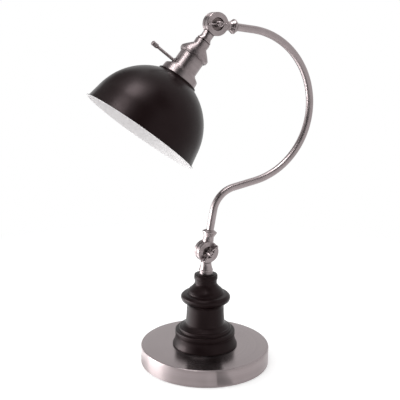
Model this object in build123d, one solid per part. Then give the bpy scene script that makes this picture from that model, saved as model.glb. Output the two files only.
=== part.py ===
from build123d import *
import math
import os

# Desk lamp on a weighted round base, in millimetres. +Z is up and the origin is the
# centre of the pad's underside. The arm bows to +X in the plane Y = 0, the shade hangs
# to -X, and both swivel knuckles turn about Y with their wing screws on the -Y side.

# Clearances
SLIP = 0.2
RUNNING = 0.08
FACE_GAP = 0.2
THREAD_GAP = 0.06

# Base
BASE_R = 89.0
BASE_HEIGHT = 24.5
COVER_WALL = 1.2
COVER_EDGE_R = 1.6
COVER_LIFT = 0.7
PAD_THICKNESS = 2.0
PAD_INSET = 1.5
PLATE_THICKNESS = 1.2
WEIGHT_RIM = 7.5
WEIGHT_POCKET_R = 14.0
WEIGHT_POCKET = 5.0

# Cord inlet through the rear wall of the base
INLET_BORE_R = 3.1
INLET_WALL = 1.5
INLET_FLANGE_R = 6.2
INLET_FLANGE = 1.6
INLET_LENGTH = 14.0
INLET_ROOM = 0.45
CORD_NOTCH = 11.0

# Hollow threaded rod that ties base, pedestal and lower knuckle together
ROD_R = 4.85
ROD_BORE_R = 3.2
ROD_TAIL = 2.4
ROD_GRIP = 10.0
NUT_FLATS = 14.3
NUT_HEIGHT = 4.0
WASHER_R = 11.5
WASHER_THICKNESS = 1.4

# Turned pedestal, from the base up
FOOT_R = 44.9
FOOT_LIP = 1.7
FOOT_HEIGHT = 15.5
WAIST_R = 41.0
RING_R = 41.5
RING_HEIGHT = 6.8
LEDGE_R = 35.8
LEDGE_HEIGHT = 4.6
COVE_HEIGHT = 5.0
COLUMN_FOOT_R = 27.0
COLUMN_TOP_R = 25.5
COLUMN_HEIGHT = 25.6
BULGE_R = 34.0
BULGE_HEIGHT = 17.5
SHOULDER_R = 24.9
SHOULDER_HEIGHT = 14.1
THROAT_R = 15.2
THROAT_HEIGHT = 5.4
COLLAR_R = 16.2
COLLAR_HEIGHT = 7.5
COLLAR_GROOVE = 0.6
SEAT_R = 12.6
SEAT_HEIGHT = 0.9
PEDESTAL_WALL = 4.6

# Swivel knuckles: two discs on one screw, each with a hollow neck
DISC_R = 15.0
DISC_THICKNESS = 7.5
DISC_EDGE_R = 0.9
FRICTION_THICKNESS = 0.6
FRICTION_R = 14.2
CAVITY_R = 11.2
CAVITY_DEPTH = 2.2
CAVITY_HUB_R = 5.4
RECESS_R = 7.8
RECESS_DEPTH = 3.2
NECK_GAP = 0.7
WIRE_R = 3.0
FOOT_NECK = 31.4
FOOT_NECK_R = 7.4
FOOT_FLARE = 7.4
FOOT_BEAD_R = 9.6
FOOT_BEAD = 26.4
FOOT_FLANGE_R = 9.1
ARM_FOOT_NECK = 29.6
ARM_FOOT_NECK_R = 6.8
ARM_FOOT_FLARE = 6.0
ARM_FOOT_BEAD_R = 9.9
ARM_FOOT_BEAD = 26.7
ARM_TOP_NECK = 30.6
ARM_TOP_NECK_R = 5.9
ARM_TOP_COLLAR = 20.0
ARM_TOP_BEAD_R = 9.5
ARM_TOP_BEAD = 25.7
HEAD_NECK = 27.3
HEAD_NECK_R = 7.4
HEAD_FLARE = 4.2
HEAD_BEAD_R = 9.7
HEAD_BEAD = 25.7
HEAD_THREAD = 7.0
SOCKET_START = 21.5

# Wing screws
SCREW_R = 2.5
HUB_R = 4.0
HUB_END = 18.0
HUB_DIMPLE_R = 1.9
HUB_DIMPLE = 1.6
WING_SPAN = 30.0
WING_THICKNESS = 2.0
WING_LIFT = 0.8
WING_TOP = 17.2
LOWER_WING_TURN = 45.0
UPPER_WING_TURN = 0.0

# Arm tube, from the lower pivot to the upper one
TUBE_R = 5.0
TUBE_WALL = 0.9
ARM_LEAN = 9.83
ARM_RISE = 57.2
SMALL_BEND_R = 36.9
CROSSOVER_SLOPE = 11.9
CROSSOVER = 33.3
BIG_BEND_R = 102.6
ARM_END_SLOPE = 6.5
ARM_END = 54.4

# Head, measured along its axis from the upper pivot
HEAD_TILT = 37.3
CAP_START = 27.9
CAP_NECK_R = 10.2
CAP_NECK_END = 35.0
CAP_R = 20.1
CAP_LIP = 48.2
CAP_END = 52.0
CAP_WALL = 1.1
CAP_NUT_SEAT = 39.6
SHELL_R = 17.0
SHELL_WALL = 0.7
SHELL_START = 47.6
SHELL_END = 74.6
NIPPLE_END = 45.0
CAP_NUT_HEIGHT = 3.2
FITTER_START = 71.4
FITTER_R = 25.0
FITTER_SHOULDER = 76.6
FITTER_END = 84.6
FITTER_WALL = 0.9

# Shade
SHADE_WALL = 0.9
SHADE_NECK_R = 27.4
SHADE_TOP = 85.4
SHADE_START = 87.7
SHADE_ARC_R = 81.0
SHADE_START_SLOPE = 23.3
SHADE_END_SLOPE = 80.0
SHADE_SKIRT = 21.0
SHADE_LIP = 2.1
SHADE_HOLE_GAP = 0.3
CLAMP_RING_R = 20.5
CLAMP_RING = 5.0

# Lampholder
HOLDER_R = 15.0
HOLDER_START = 54.0
HOLDER_FLOOR = 75.0
HOLDER_END = 99.0
THREAD_SHELL_R = 13.2
THREAD_SHELL_WALL = 0.4
THREAD_SHELL_LENGTH = 22.0
THREAD_SHELL_CORNER_R = 2.0
CONTACT_R = 4.6
CONTACT_THICKNESS = 0.8
CONTACT_LIFT = 0.9

# Turn key of the switch
KEY_AXIS = 70.4
KEY_ROD_R = 1.95
KEY_REACH = 54.8
KEY_INNER = 9.0
KEY_KNOB_R = 3.05
KEY_KNOB_LENGTH = 9.5
KEY_FLUTES = 12
KEY_FLUTE_R = 0.45
BUSHING_R = 3.4
BUSHING_STAND = 1.4

# Heights and distances that follow from the sizes above
COVER_TOP_UNDERSIDE = BASE_HEIGHT - COVER_WALL
PLATE_TOP = PAD_THICKNESS + PLATE_THICKNESS
WEIGHT_UNDERSIDE = PLATE_TOP + 2 * (INLET_BORE_R + INLET_WALL + INLET_ROOM)
WEIGHT_R = BASE_R - COVER_WALL - SLIP
POCKET_FLOOR = WEIGHT_UNDERSIDE + WEIGHT_POCKET
INLET_HEIGHT = (PLATE_TOP + WEIGHT_UNDERSIDE) / 2
TIE_NUT_FOOT = POCKET_FLOOR - WASHER_THICKNESS - NUT_HEIGHT
FOOT_TOP = BASE_HEIGHT + FOOT_HEIGHT
RING_TOP = FOOT_TOP + RING_HEIGHT
LEDGE_TOP = RING_TOP + LEDGE_HEIGHT
COLUMN_FOOT = LEDGE_TOP + COVE_HEIGHT
COLUMN_TOP = COLUMN_FOOT + COLUMN_HEIGHT
BULGE_TOP = COLUMN_TOP + BULGE_HEIGHT
SHOULDER_TOP = BULGE_TOP + SHOULDER_HEIGHT
THROAT_TOP = SHOULDER_TOP + THROAT_HEIGHT
COLLAR_TOP = THROAT_TOP + COLLAR_HEIGHT
PEDESTAL_TOP = COLLAR_TOP + SEAT_HEIGHT
LOWER_PIVOT_Z = PEDESTAL_TOP + FOOT_NECK
HALF_WASHER = FRICTION_THICKNESS / 2
BACK_FACE = HALF_WASHER + DISC_THICKNESS
FRONT_INNER = HALF_WASHER + FACE_GAP
FRONT_FACE = FRONT_INNER + DISC_THICKNESS
HOLDER_HOLE_R = HOLDER_R + SHADE_HOLE_GAP

ABOUT_Y = (90, 0, 0)


def turned(*corners):
    """A solid of revolution about Z. Each corner is (radius, height) or, with its
    corner rounded, (radius, height, rounding)."""
    points = [corner[:2] for corner in corners]
    roundings = [corner[2] if len(corner) > 2 else 0 for corner in corners]
    outline = FilletPolyline(*points, radius=roundings, close=True)
    return revolve(Plane.XZ * make_face(outline), Axis.Z)


def rod_y(radius, start, end):
    """A cylinder along Y between two places."""
    length = end - start
    return Pos(0, (start + end) / 2, 0) * Rotation(*ABOUT_Y) * Cylinder(radius, length)


def rod_z(radius, start, end):
    """A cylinder along Z between two heights."""
    return Pos(0, 0, (start + end) / 2) * Cylinder(radius, end - start)


def rod_x(radius, start, end):
    """A cylinder along X between two places."""
    return Pos((start + end) / 2, 0, 0) * Rotation(0, 90, 0) * Cylinder(radius, end - start)


def hex_nut(flats, height, bore_r):
    """A hexagon nut standing on Z = 0, its corners chamfered on both faces."""
    corner_r = flats / math.sqrt(3)
    chamfer_r = 0.94 * corner_r
    slope = (corner_r - chamfer_r) * 0.6
    prism = extrude(RegularPolygon(corner_r, 6), height)
    cone = turned(
        (bore_r, 0),
        (chamfer_r, 0),
        (corner_r, slope),
        (corner_r, height - slope),
        (chamfer_r, height),
        (bore_r, height),
    )
    return prism & cone


def base_cover():
    """Spun nickel cover: a shallow cup with a rolled top edge."""
    cup = turned(
        (ROD_R + SLIP, COVER_TOP_UNDERSIDE),
        (BASE_R - COVER_WALL, COVER_TOP_UNDERSIDE, COVER_EDGE_R * 0.4),
        (BASE_R - COVER_WALL, COVER_LIFT),
        (BASE_R, COVER_LIFT),
        (BASE_R, BASE_HEIGHT, COVER_EDGE_R),
        (ROD_R + SLIP, BASE_HEIGHT),
    )
    inlet_r = INLET_BORE_R + INLET_WALL + SLIP
    return cup - Pos(0, 0, INLET_HEIGHT) * rod_x(inlet_r, BASE_R - 4 * COVER_WALL, BASE_R + 1)


def base_weight():
    """Cast ring-and-web weight, notched at the back for the cord."""
    casting = turned(
        (ROD_R + SLIP, COVER_TOP_UNDERSIDE),
        (WEIGHT_R, COVER_TOP_UNDERSIDE, COVER_EDGE_R),
        (WEIGHT_R, PLATE_TOP),
        (WEIGHT_R - WEIGHT_RIM, PLATE_TOP),
        (WEIGHT_R - WEIGHT_RIM, WEIGHT_UNDERSIDE, 2.0),
        (WEIGHT_POCKET_R + 0.6, WEIGHT_UNDERSIDE),
        (WEIGHT_POCKET_R, POCKET_FLOOR, 0.8),
        (ROD_R + SLIP, POCKET_FLOOR),
    )
    notch_height = WEIGHT_UNDERSIDE - PLATE_TOP
    notch = Pos(WEIGHT_R, 0, INLET_HEIGHT) * Box(4 * WEIGHT_RIM, CORD_NOTCH, notch_height)
    return casting - notch


def base_plate():
    """Sheet-steel disc that closes the cover from below."""
    return turned(
        (0, PAD_THICKNESS),
        (WEIGHT_R, PAD_THICKNESS),
        (WEIGHT_R, PLATE_TOP),
        (0, PLATE_TOP),
    )


def base_pad():
    """Felt pad glued to the plate."""
    pad_r = WEIGHT_R - PAD_INSET
    return turned((0, 0), (pad_r, 0, 0.6), (pad_r, PAD_THICKNESS), (0, PAD_THICKNESS))


def cord_bushing():
    """Flanged bushing that lines the cord inlet, with its bore open right through."""
    sleeve_r = INLET_BORE_R + INLET_WALL
    sleeve = turned(
        (INLET_BORE_R, -INLET_LENGTH),
        (sleeve_r - 0.4, -INLET_LENGTH),
        (sleeve_r, -INLET_LENGTH + 1.5),
        (sleeve_r, 0),
        (INLET_FLANGE_R, 0),
        (INLET_FLANGE_R, INLET_FLANGE, 0.6),
        (INLET_BORE_R, INLET_FLANGE, 0.5),
    )
    return Pos(BASE_R, 0, INLET_HEIGHT) * Rotation(0, 90, 0) * sleeve


def tie_rod():
    """Hollow threaded rod from under the weight up into the lower knuckle."""
    foot = TIE_NUT_FOOT - ROD_TAIL
    top = PEDESTAL_TOP + ROD_GRIP
    chamfer = 0.5
    return turned(
        (ROD_BORE_R, foot),
        (ROD_R - chamfer, foot),
        (ROD_R, foot + chamfer),
        (ROD_R, top - chamfer),
        (ROD_R - chamfer, top),
        (ROD_BORE_R, top),
    )


def tie_washer():
    """Washer between the weight and the nut."""
    foot = POCKET_FLOOR - WASHER_THICKNESS
    bore_r = ROD_R + SLIP
    return turned(
        (bore_r, foot),
        (WASHER_R, foot, 0.3),
        (WASHER_R, POCKET_FLOOR),
        (bore_r, POCKET_FLOOR),
    )


def tie_nut():
    """Hexagon nut that draws the whole stem down onto the weight."""
    return Pos(0, 0, TIE_NUT_FOOT) * hex_nut(NUT_FLATS, NUT_HEIGHT, ROD_R + THREAD_GAP)


def rounded(*corners):
    """An open line through the corners, each (radius, height) or, with its corner
    rounded, (radius, height, rounding)."""
    points = [corner[:2] for corner in corners]
    roundings = [corner[2] if len(corner) > 2 else 0 for corner in corners[1:-1]]
    return FilletPolyline(*points, radius=roundings)


def pedestal_foot():
    """Outline of the flared foot, the ring and the ledge up to the column."""
    lip = (FOOT_R - 0.1, BASE_HEIGHT + FOOT_LIP)
    flare_middle = (WAIST_R + 1.1, BASE_HEIGHT + FOOT_HEIGHT * 0.51)
    flare_top = (WAIST_R, FOOT_TOP - 1.0)
    column_foot = (COLUMN_FOOT_R, COLUMN_FOOT)
    return [
        rounded((ROD_R + SLIP, BASE_HEIGHT), (FOOT_R, BASE_HEIGHT, 1.0), lip),
        ThreePointArc(lip, flare_middle, flare_top),
        rounded(
            flare_top,
            (WAIST_R, FOOT_TOP),
            (RING_R, FOOT_TOP + 0.6),
            (RING_R, RING_TOP, 1.8),
            (LEDGE_R + 0.4, RING_TOP, 0.3),
            (LEDGE_R, LEDGE_TOP - 0.1, 2.2),
            (LEDGE_R - 2.8, LEDGE_TOP),
            (COLUMN_FOOT_R + 1.4, COLUMN_FOOT - 1.8, 2.0),
            column_foot,
        ),
    ]


def pedestal_column():
    """Outline of the slightly waisted column, the bulge and the shoulder's flare."""
    column_foot = (COLUMN_FOOT_R, COLUMN_FOOT)
    column_middle = (
        (COLUMN_FOOT_R + COLUMN_TOP_R) / 2 - 0.3,
        (COLUMN_FOOT + COLUMN_TOP) / 2,
    )
    column_top = (COLUMN_TOP_R, COLUMN_TOP)
    flare_foot = (SHOULDER_R - 2.2, BULGE_TOP + SHOULDER_HEIGHT * 0.37)
    flare_middle = ((SHOULDER_R + THROAT_R) / 2 - 0.85, BULGE_TOP + SHOULDER_HEIGHT * 0.6)
    flare_top = (THROAT_R + 1.0, BULGE_TOP + SHOULDER_HEIGHT * 0.85)
    return [
        ThreePointArc(column_foot, column_middle, column_top),
        rounded(
            column_top,
            (COLUMN_TOP_R + 0.9, COLUMN_TOP + BULGE_HEIGHT * 0.14, 0.5),
            (BULGE_R - 1.0, COLUMN_TOP + BULGE_HEIGHT * 0.43, 2.5),
            (BULGE_R, COLUMN_TOP + BULGE_HEIGHT * 0.6, 1.5),
            (BULGE_R, COLUMN_TOP + BULGE_HEIGHT * 0.76, 2.4),
            (BULGE_R - 3.0, BULGE_TOP - 1.2, 1.5),
            (SHOULDER_R + 1.3, BULGE_TOP - 0.5),
            (SHOULDER_R + 0.1, BULGE_TOP),
            (SHOULDER_R, BULGE_TOP + SHOULDER_HEIGHT * 0.14, 0.8),
            (SHOULDER_R - 1.65, BULGE_TOP + SHOULDER_HEIGHT * 0.32, 3.0),
            flare_foot,
        ),
        ThreePointArc(flare_foot, flare_middle, flare_top),
    ]


def pedestal_collar():
    """Outline of the throat, the grooved collar and the seat, closed down the bore."""
    flare_top = (THROAT_R + 1.0, BULGE_TOP + SHOULDER_HEIGHT * 0.85)
    groove_r = COLLAR_R - COLLAR_GROOVE
    groove_foot = THROAT_TOP + COLLAR_HEIGHT * 0.68
    bead = COLLAR_R - 0.2
    return [
        rounded(
            flare_top,
            (THROAT_R, SHOULDER_TOP, 2.0),
            (THROAT_R, THROAT_TOP),
            (bead, THROAT_TOP + 0.4, 0.4),
            (COLLAR_R, THROAT_TOP + COLLAR_HEIGHT * 0.32, 0.4),
            (COLLAR_R - 0.1, groove_foot, 0.4),
            (groove_r, groove_foot + 0.4),
            (groove_r, groove_foot + 0.8),
            (bead, groove_foot + 1.2, 0.4),
            (bead - 0.5, COLLAR_TOP - 0.2, 1.2),
            (SEAT_R, COLLAR_TOP),
            (SEAT_R, PEDESTAL_TOP),
            (ROD_R + SLIP, PEDESTAL_TOP),
            (ROD_R + SLIP, BASE_HEIGHT),
        ),
    ]


def pedestal_core():
    """Cored space inside the casting, open to the base and closed round the rod on top."""
    column_r = COLUMN_TOP_R - PEDESTAL_WALL
    bulge_middle = COLUMN_TOP + BULGE_HEIGHT * 0.6
    return turned(
        (ROD_R, BASE_HEIGHT - 1),
        (RING_R - 2 * PEDESTAL_WALL, BASE_HEIGHT - 1),
        (RING_R - 2 * PEDESTAL_WALL, RING_TOP - PEDESTAL_WALL, 3.0),
        (column_r, COLUMN_FOOT, 6.0),
        (column_r, COLUMN_TOP - 1.0, 4.0),
        (BULGE_R - 1.4 * PEDESTAL_WALL, bulge_middle - 3.0, 3.0),
        (BULGE_R - 1.4 * PEDESTAL_WALL, bulge_middle + 3.0, 1.5),
        (column_r - 1.0, BULGE_TOP - 2.5, 3.0),
        (THROAT_R - PEDESTAL_WALL, SHOULDER_TOP - 2.0),
        (ROD_R, SHOULDER_TOP - 2.0),
    )


def pedestal():
    """Cast and turned pedestal, bored through for the tie rod."""
    outline = pedestal_foot() + pedestal_column() + pedestal_collar()
    edges = [edge for run in outline for edge in run.edges()]
    return revolve(Plane.XZ * make_face(edges), Axis.Z) - pedestal_core()


def knuckle_disc(side):
    """One disc of a knuckle on the side given by the sign: +1 back, -1 front."""
    inner = HALF_WASHER if side > 0 else FRONT_INNER
    outer = inner + DISC_THICKNESS
    bore_r = SCREW_R + RUNNING
    profile = [
        (bore_r, inner),
        (CAVITY_HUB_R, inner),
        (CAVITY_HUB_R, inner + CAVITY_DEPTH),
        (CAVITY_R, inner + CAVITY_DEPTH),
        (CAVITY_R, inner),
        (DISC_R, inner),
        (DISC_R, outer, DISC_EDGE_R),
    ]
    if side < 0:
        floor = outer - RECESS_DEPTH
        profile += [(RECESS_R + 0.6, outer), (RECESS_R, floor, 0.5), (bore_r, floor)]
    else:
        profile += [(bore_r + 0.6, outer), (bore_r, outer - 0.6)]
    return Rotation(-90 * side, 0, 0) * turned(*profile)


def knuckle_half(side, neck, socket_r, socket_start, neck_end):
    """A disc with its hollow neck pointing down -Z from the pivot.

    The neck is centred between the two discs, so it is cut back round the other disc.
    """
    wire_start = (CAVITY_HUB_R + CAVITY_R) / 2
    reach = DISC_R * 2
    outer = BACK_FACE if side > 0 else FRONT_FACE
    inner = HALF_WASHER if side > 0 else FRONT_INNER
    other_face = side * inner
    own_face = side * outer
    neck = neck - rod_y(DISC_R - 0.6, *sorted((other_face, own_face)))
    neck = neck - rod_y(DISC_R, *sorted((own_face, side * reach)))
    neck = neck - rod_y(DISC_R + NECK_GAP, *sorted((other_face, -side * reach)))
    half = knuckle_disc(side) + neck
    half = half - rod_z(WIRE_R, -neck_end - 1, -wire_start)
    return half - rod_z(socket_r, -neck_end - 1, -socket_start)


def foot_knuckle():
    """Back half of the lower knuckle, screwed down on the tie rod."""
    groove_r = FOOT_FLANGE_R - 0.5
    neck = turned(
        (0, -DISC_R * 0.7),
        (FOOT_NECK_R, -DISC_R * 0.7),
        (FOOT_NECK_R, -FOOT_BEAD + FOOT_FLARE, 6.0),
        (FOOT_BEAD_R - 0.6, -FOOT_BEAD + 1.5, 0.4),
        (FOOT_BEAD_R, -FOOT_BEAD + 0.8, 0.3),
        (FOOT_BEAD_R, -FOOT_BEAD - 0.8, 0.4),
        (groove_r, -FOOT_BEAD - 1.2),
        (groove_r, -FOOT_BEAD - 1.8),
        (FOOT_FLANGE_R, -FOOT_BEAD - 2.2, 0.3),
        (FOOT_FLANGE_R, -FOOT_NECK),
        (0, -FOOT_NECK),
    )
    rod_start = FOOT_NECK - ROD_GRIP - SLIP
    half = knuckle_half(1, neck, ROD_R + THREAD_GAP, rod_start, FOOT_NECK)
    return Pos(0, 0, LOWER_PIVOT_Z) * half


def friction_washer():
    """Fibre washer between the two discs of a knuckle, fixed to the back one."""
    ring = turned(
        (SCREW_R + SLIP, -HALF_WASHER),
        (FRICTION_R, -HALF_WASHER),
        (FRICTION_R, HALF_WASHER),
        (SCREW_R + SLIP, HALF_WASHER),
    )
    wire_slot = rod_z(CAVITY_R, -1, 1) - rod_z(CAVITY_HUB_R, -1, 1)
    slot_half = Pos(0, CAVITY_R, 0) * Box(4 * CAVITY_R, 2 * CAVITY_R, 4)
    return Rotation(*ABOUT_Y) * (ring - (wire_slot & slot_half))


def arm_foot_knuckle():
    """Front half of the lower knuckle, which carries the tube."""
    neck = turned(
        (0, -DISC_R * 0.7),
        (ARM_FOOT_NECK_R + 0.6, -DISC_R * 0.7),
        (ARM_FOOT_NECK_R + 0.5, -DISC_R - 1.0),
        (ARM_FOOT_NECK_R, -ARM_FOOT_BEAD + ARM_FOOT_FLARE, 5.0),
        (ARM_FOOT_BEAD_R - 0.5, -ARM_FOOT_BEAD + 0.9, 0.5),
        (ARM_FOOT_BEAD_R, -ARM_FOOT_BEAD, 0.4),
        (ARM_FOOT_BEAD_R, -ARM_FOOT_BEAD - 0.9, 0.4),
        (TUBE_R + 1.6, -ARM_FOOT_NECK, 0.3),
        (0, -ARM_FOOT_NECK),
    )
    return knuckle_half(-1, neck, TUBE_R + THREAD_GAP, SOCKET_START, ARM_FOOT_NECK)


def arm_top_knuckle():
    """Front half of the upper knuckle, with its double-cone collar on the tube."""
    neck = turned(
        (0, -DISC_R * 0.7),
        (ARM_TOP_NECK_R + 0.8, -DISC_R * 0.7),
        (ARM_TOP_NECK_R + 0.8, -DISC_R - 1.0, 0.6),
        (ARM_TOP_NECK_R, -DISC_R - 2.4),
        (ARM_TOP_NECK_R, -ARM_TOP_COLLAR, 0.6),
        (ARM_TOP_BEAD_R, -ARM_TOP_BEAD + 1.0, 0.6),
        (ARM_TOP_BEAD_R, -ARM_TOP_BEAD - 0.9, 0.6),
        (TUBE_R + 1.1, -ARM_TOP_NECK + 0.8, 0.3),
        (TUBE_R + 1.1, -ARM_TOP_NECK),
        (0, -ARM_TOP_NECK),
    )
    return knuckle_half(-1, neck, TUBE_R + THREAD_GAP, SOCKET_START, ARM_TOP_NECK)


def head_knuckle():
    """Back half of the upper knuckle, whose neck is screwed to the head's nipple."""
    neck = turned(
        (0, -DISC_R * 0.7),
        (HEAD_NECK_R + 0.3, -DISC_R * 0.7),
        (HEAD_NECK_R, -DISC_R - 1.5),
        (HEAD_NECK_R, -HEAD_BEAD + HEAD_FLARE, 3.4),
        (HEAD_BEAD_R - 0.6, -HEAD_BEAD + 0.9, 0.3),
        (HEAD_BEAD_R, -HEAD_BEAD + 0.4, 0.3),
        (HEAD_BEAD_R, -HEAD_BEAD - 0.9, 0.3),
        (HEAD_BEAD_R - 1.3, -HEAD_NECK),
        (0, -HEAD_NECK),
    )
    return knuckle_half(1, neck, ROD_R + THREAD_GAP, HEAD_NECK - HEAD_THREAD, HEAD_NECK)


def arm_path():
    """Centreline of the arm: rise, small bend, crossover, big bend and end run.

    Returns the edges from pivot to pivot, the tube's own edges and the last point.
    """
    heading = math.radians(90 - ARM_LEAN)
    crossover = math.radians(CROSSOVER_SLOPE)
    end_heading = math.radians(180 - ARM_END_SLOPE)

    def ahead(point, angle, distance):
        return (point[0] + distance * math.cos(angle), point[1] + distance * math.sin(angle))

    def bend(point, start, end, radius):
        side = 1 if end > start else -1
        centre = ahead(point, start + side * math.pi / 2, radius)
        middle = ahead(centre, (start + end) / 2 - side * math.pi / 2, radius)
        return middle, ahead(centre, end - side * math.pi / 2, radius)

    pivot = (0, LOWER_PIVOT_Z)
    first = ahead(pivot, heading, ARM_RISE)
    small_middle, second = bend(first, heading, crossover, SMALL_BEND_R)
    third = ahead(second, crossover, CROSSOVER)
    big_middle, fourth = bend(third, crossover, end_heading, BIG_BEND_R)
    last = ahead(fourth, end_heading, ARM_END)
    tube_start = ahead(pivot, heading, SOCKET_START + SLIP)
    tube_end = ahead(last, end_heading, -SOCKET_START - SLIP)
    edges = [
        Line(tube_start, first),
        ThreePointArc(first, small_middle, second),
        Line(second, third),
        ThreePointArc(third, big_middle, fourth),
        Line(fourth, tube_end),
    ]
    return edges, tube_start, last


def arm_tube():
    """Bent nickel tube, swept along the arm's centreline."""
    edges, start, _ = arm_path()
    path = Plane.XZ * Wire([edge for run in edges for edge in run.edges()])
    lean = Plane(
        origin=(start[0], 0, start[1]),
        z_dir=(math.sin(math.radians(ARM_LEAN)), 0, math.cos(math.radians(ARM_LEAN))),
    )
    outside = sweep(lean * Circle(TUBE_R), path)
    inside = sweep(lean * Circle(TUBE_R - TUBE_WALL), path)
    return outside - inside


def wing_outline():
    """Half outline of the two wings, from the hub out to one tip, in X and Y."""
    half = WING_SPAN / 2
    foot = FRONT_FACE + WING_LIFT
    return FilletPolyline(
        (-half + 3.2, foot),
        (half - 3.2, foot),
        (half, foot + 4.0),
        (half - 0.8, WING_TOP),
        (half - 5.2, WING_TOP),
        (HUB_R, WING_TOP - 3.4),
        (-HUB_R, WING_TOP - 3.4),
        (-half + 5.2, WING_TOP),
        (-half + 0.8, WING_TOP),
        (-half, foot + 4.0),
        radius=[1.5, 1.5, 2.4, 1.6, 1.6, 0.5, 0.5, 1.6, 1.6, 2.4],
        close=True,
    )


def wing_screw(turn):
    """Wing screw along -Y, its wings turned by an angle about the screw's axis."""
    tip = -BACK_FACE + SLIP
    hub_foot = FRONT_FACE - RECESS_DEPTH + FACE_GAP
    shaft = turned(
        (0, tip),
        (SCREW_R - 0.5, tip),
        (SCREW_R, tip + 0.5),
        (SCREW_R, hub_foot),
        (HUB_R, hub_foot, 0.4),
        (HUB_R - 0.5, HUB_END, 0.8),
        (HUB_DIMPLE_R, HUB_END, 0.3),
        (HUB_DIMPLE_R - 0.3, HUB_END - HUB_DIMPLE),
        (0, HUB_END - HUB_DIMPLE),
    )
    wings = extrude(make_face(wing_outline()), WING_THICKNESS / 2, both=True)
    standing = Rotation(90, 0, 0) * wings
    core = rod_z(HUB_R - 1.0, FRONT_FACE, WING_TOP + 1)
    screw = shaft + (standing - core)
    return Rotation(0, turn, 0) * Rotation(90, 0, 0) * screw


def head_nipple():
    """Threaded tube that joins the head's neck to the socket cap."""
    start = HEAD_NECK - HEAD_THREAD + SLIP
    return turned(
        (ROD_BORE_R, -start),
        (ROD_R, -start),
        (ROD_R, -NIPPLE_END),
        (ROD_BORE_R, -NIPPLE_END),
    )


def socket_cap():
    """Bell-shaped spun cap, with its stepped neck, over the socket shell."""
    bore_r = ROD_R + SLIP
    seat_r = SHELL_R + THREAD_GAP
    return turned(
        (bore_r, -CAP_START),
        (CAP_NECK_R - 0.5, -CAP_START),
        (CAP_NECK_R, -CAP_START - 0.6, 0.3),
        (CAP_NECK_R, -CAP_START - 1.6, 0.3),
        (CAP_NECK_R - 0.4, -CAP_NECK_END, 1.2),
        (CAP_R - 3.6, -CAP_LIP + 6.0, 6.0),
        (CAP_R, -CAP_LIP + 1.6, 1.8),
        (CAP_R - 0.2, -CAP_LIP - 1.6, 0.9),
        (CAP_R - 1.9, -CAP_END, 0.5),
        (seat_r, -CAP_END),
        (seat_r, -SHELL_START),
        (seat_r - CAP_WALL, -SHELL_START),
        (seat_r - CAP_WALL, -CAP_LIP + 4.4, 1.0),
        (CAP_NECK_R + 1.0, -CAP_NUT_SEAT),
        (bore_r, -CAP_NUT_SEAT),
    )


def cap_nut():
    """Lock nut inside the cap."""
    nut = hex_nut(NUT_FLATS, CAP_NUT_HEIGHT, ROD_R + THREAD_GAP)
    return Pos(0, 0, -CAP_NUT_SEAT - CAP_NUT_HEIGHT) * nut


def socket_shell():
    """Thin nickel sleeve round the lampholder, drilled for the switch key."""
    inner_r = SHELL_R - SHELL_WALL
    sleeve = turned(
        (inner_r, -SHELL_START),
        (SHELL_R, -SHELL_START),
        (SHELL_R, -SHELL_END),
        (inner_r, -SHELL_END),
    )
    return sleeve - Pos(0, 0, -KEY_AXIS) * rod_x(BUSHING_R - 0.6 + SLIP, -SHELL_R - 2, 0)


def shade_fitter():
    """Flared skirt under the socket shell that the shade is clamped against."""
    bore_r = SHELL_R + THREAD_GAP
    top_r = bore_r + FITTER_WALL
    flare = turned(
        (bore_r, -FITTER_START),
        (top_r, -FITTER_START, 0.4),
        (top_r + 0.2, -FITTER_START - 1.0, 1.2),
        (FITTER_R - 0.8, -FITTER_SHOULDER, 2.0),
        (FITTER_R, -FITTER_END + 0.8),
        (FITTER_R + 0.3, -FITTER_END, 0.2),
        (FITTER_R + 0.3, -SHADE_TOP),
        (FITTER_R - FITTER_WALL, -SHADE_TOP),
        (FITTER_R - FITTER_WALL - 0.8, -FITTER_SHOULDER - FITTER_WALL, 1.8),
        (top_r - 0.3, -SHELL_END - 0.3),
        (bore_r, -SHELL_END - 0.3),
    )
    return flare - Pos(0, 0, -KEY_AXIS) * rod_x(BUSHING_R + SLIP, -FITTER_R - 2, 0)


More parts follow.
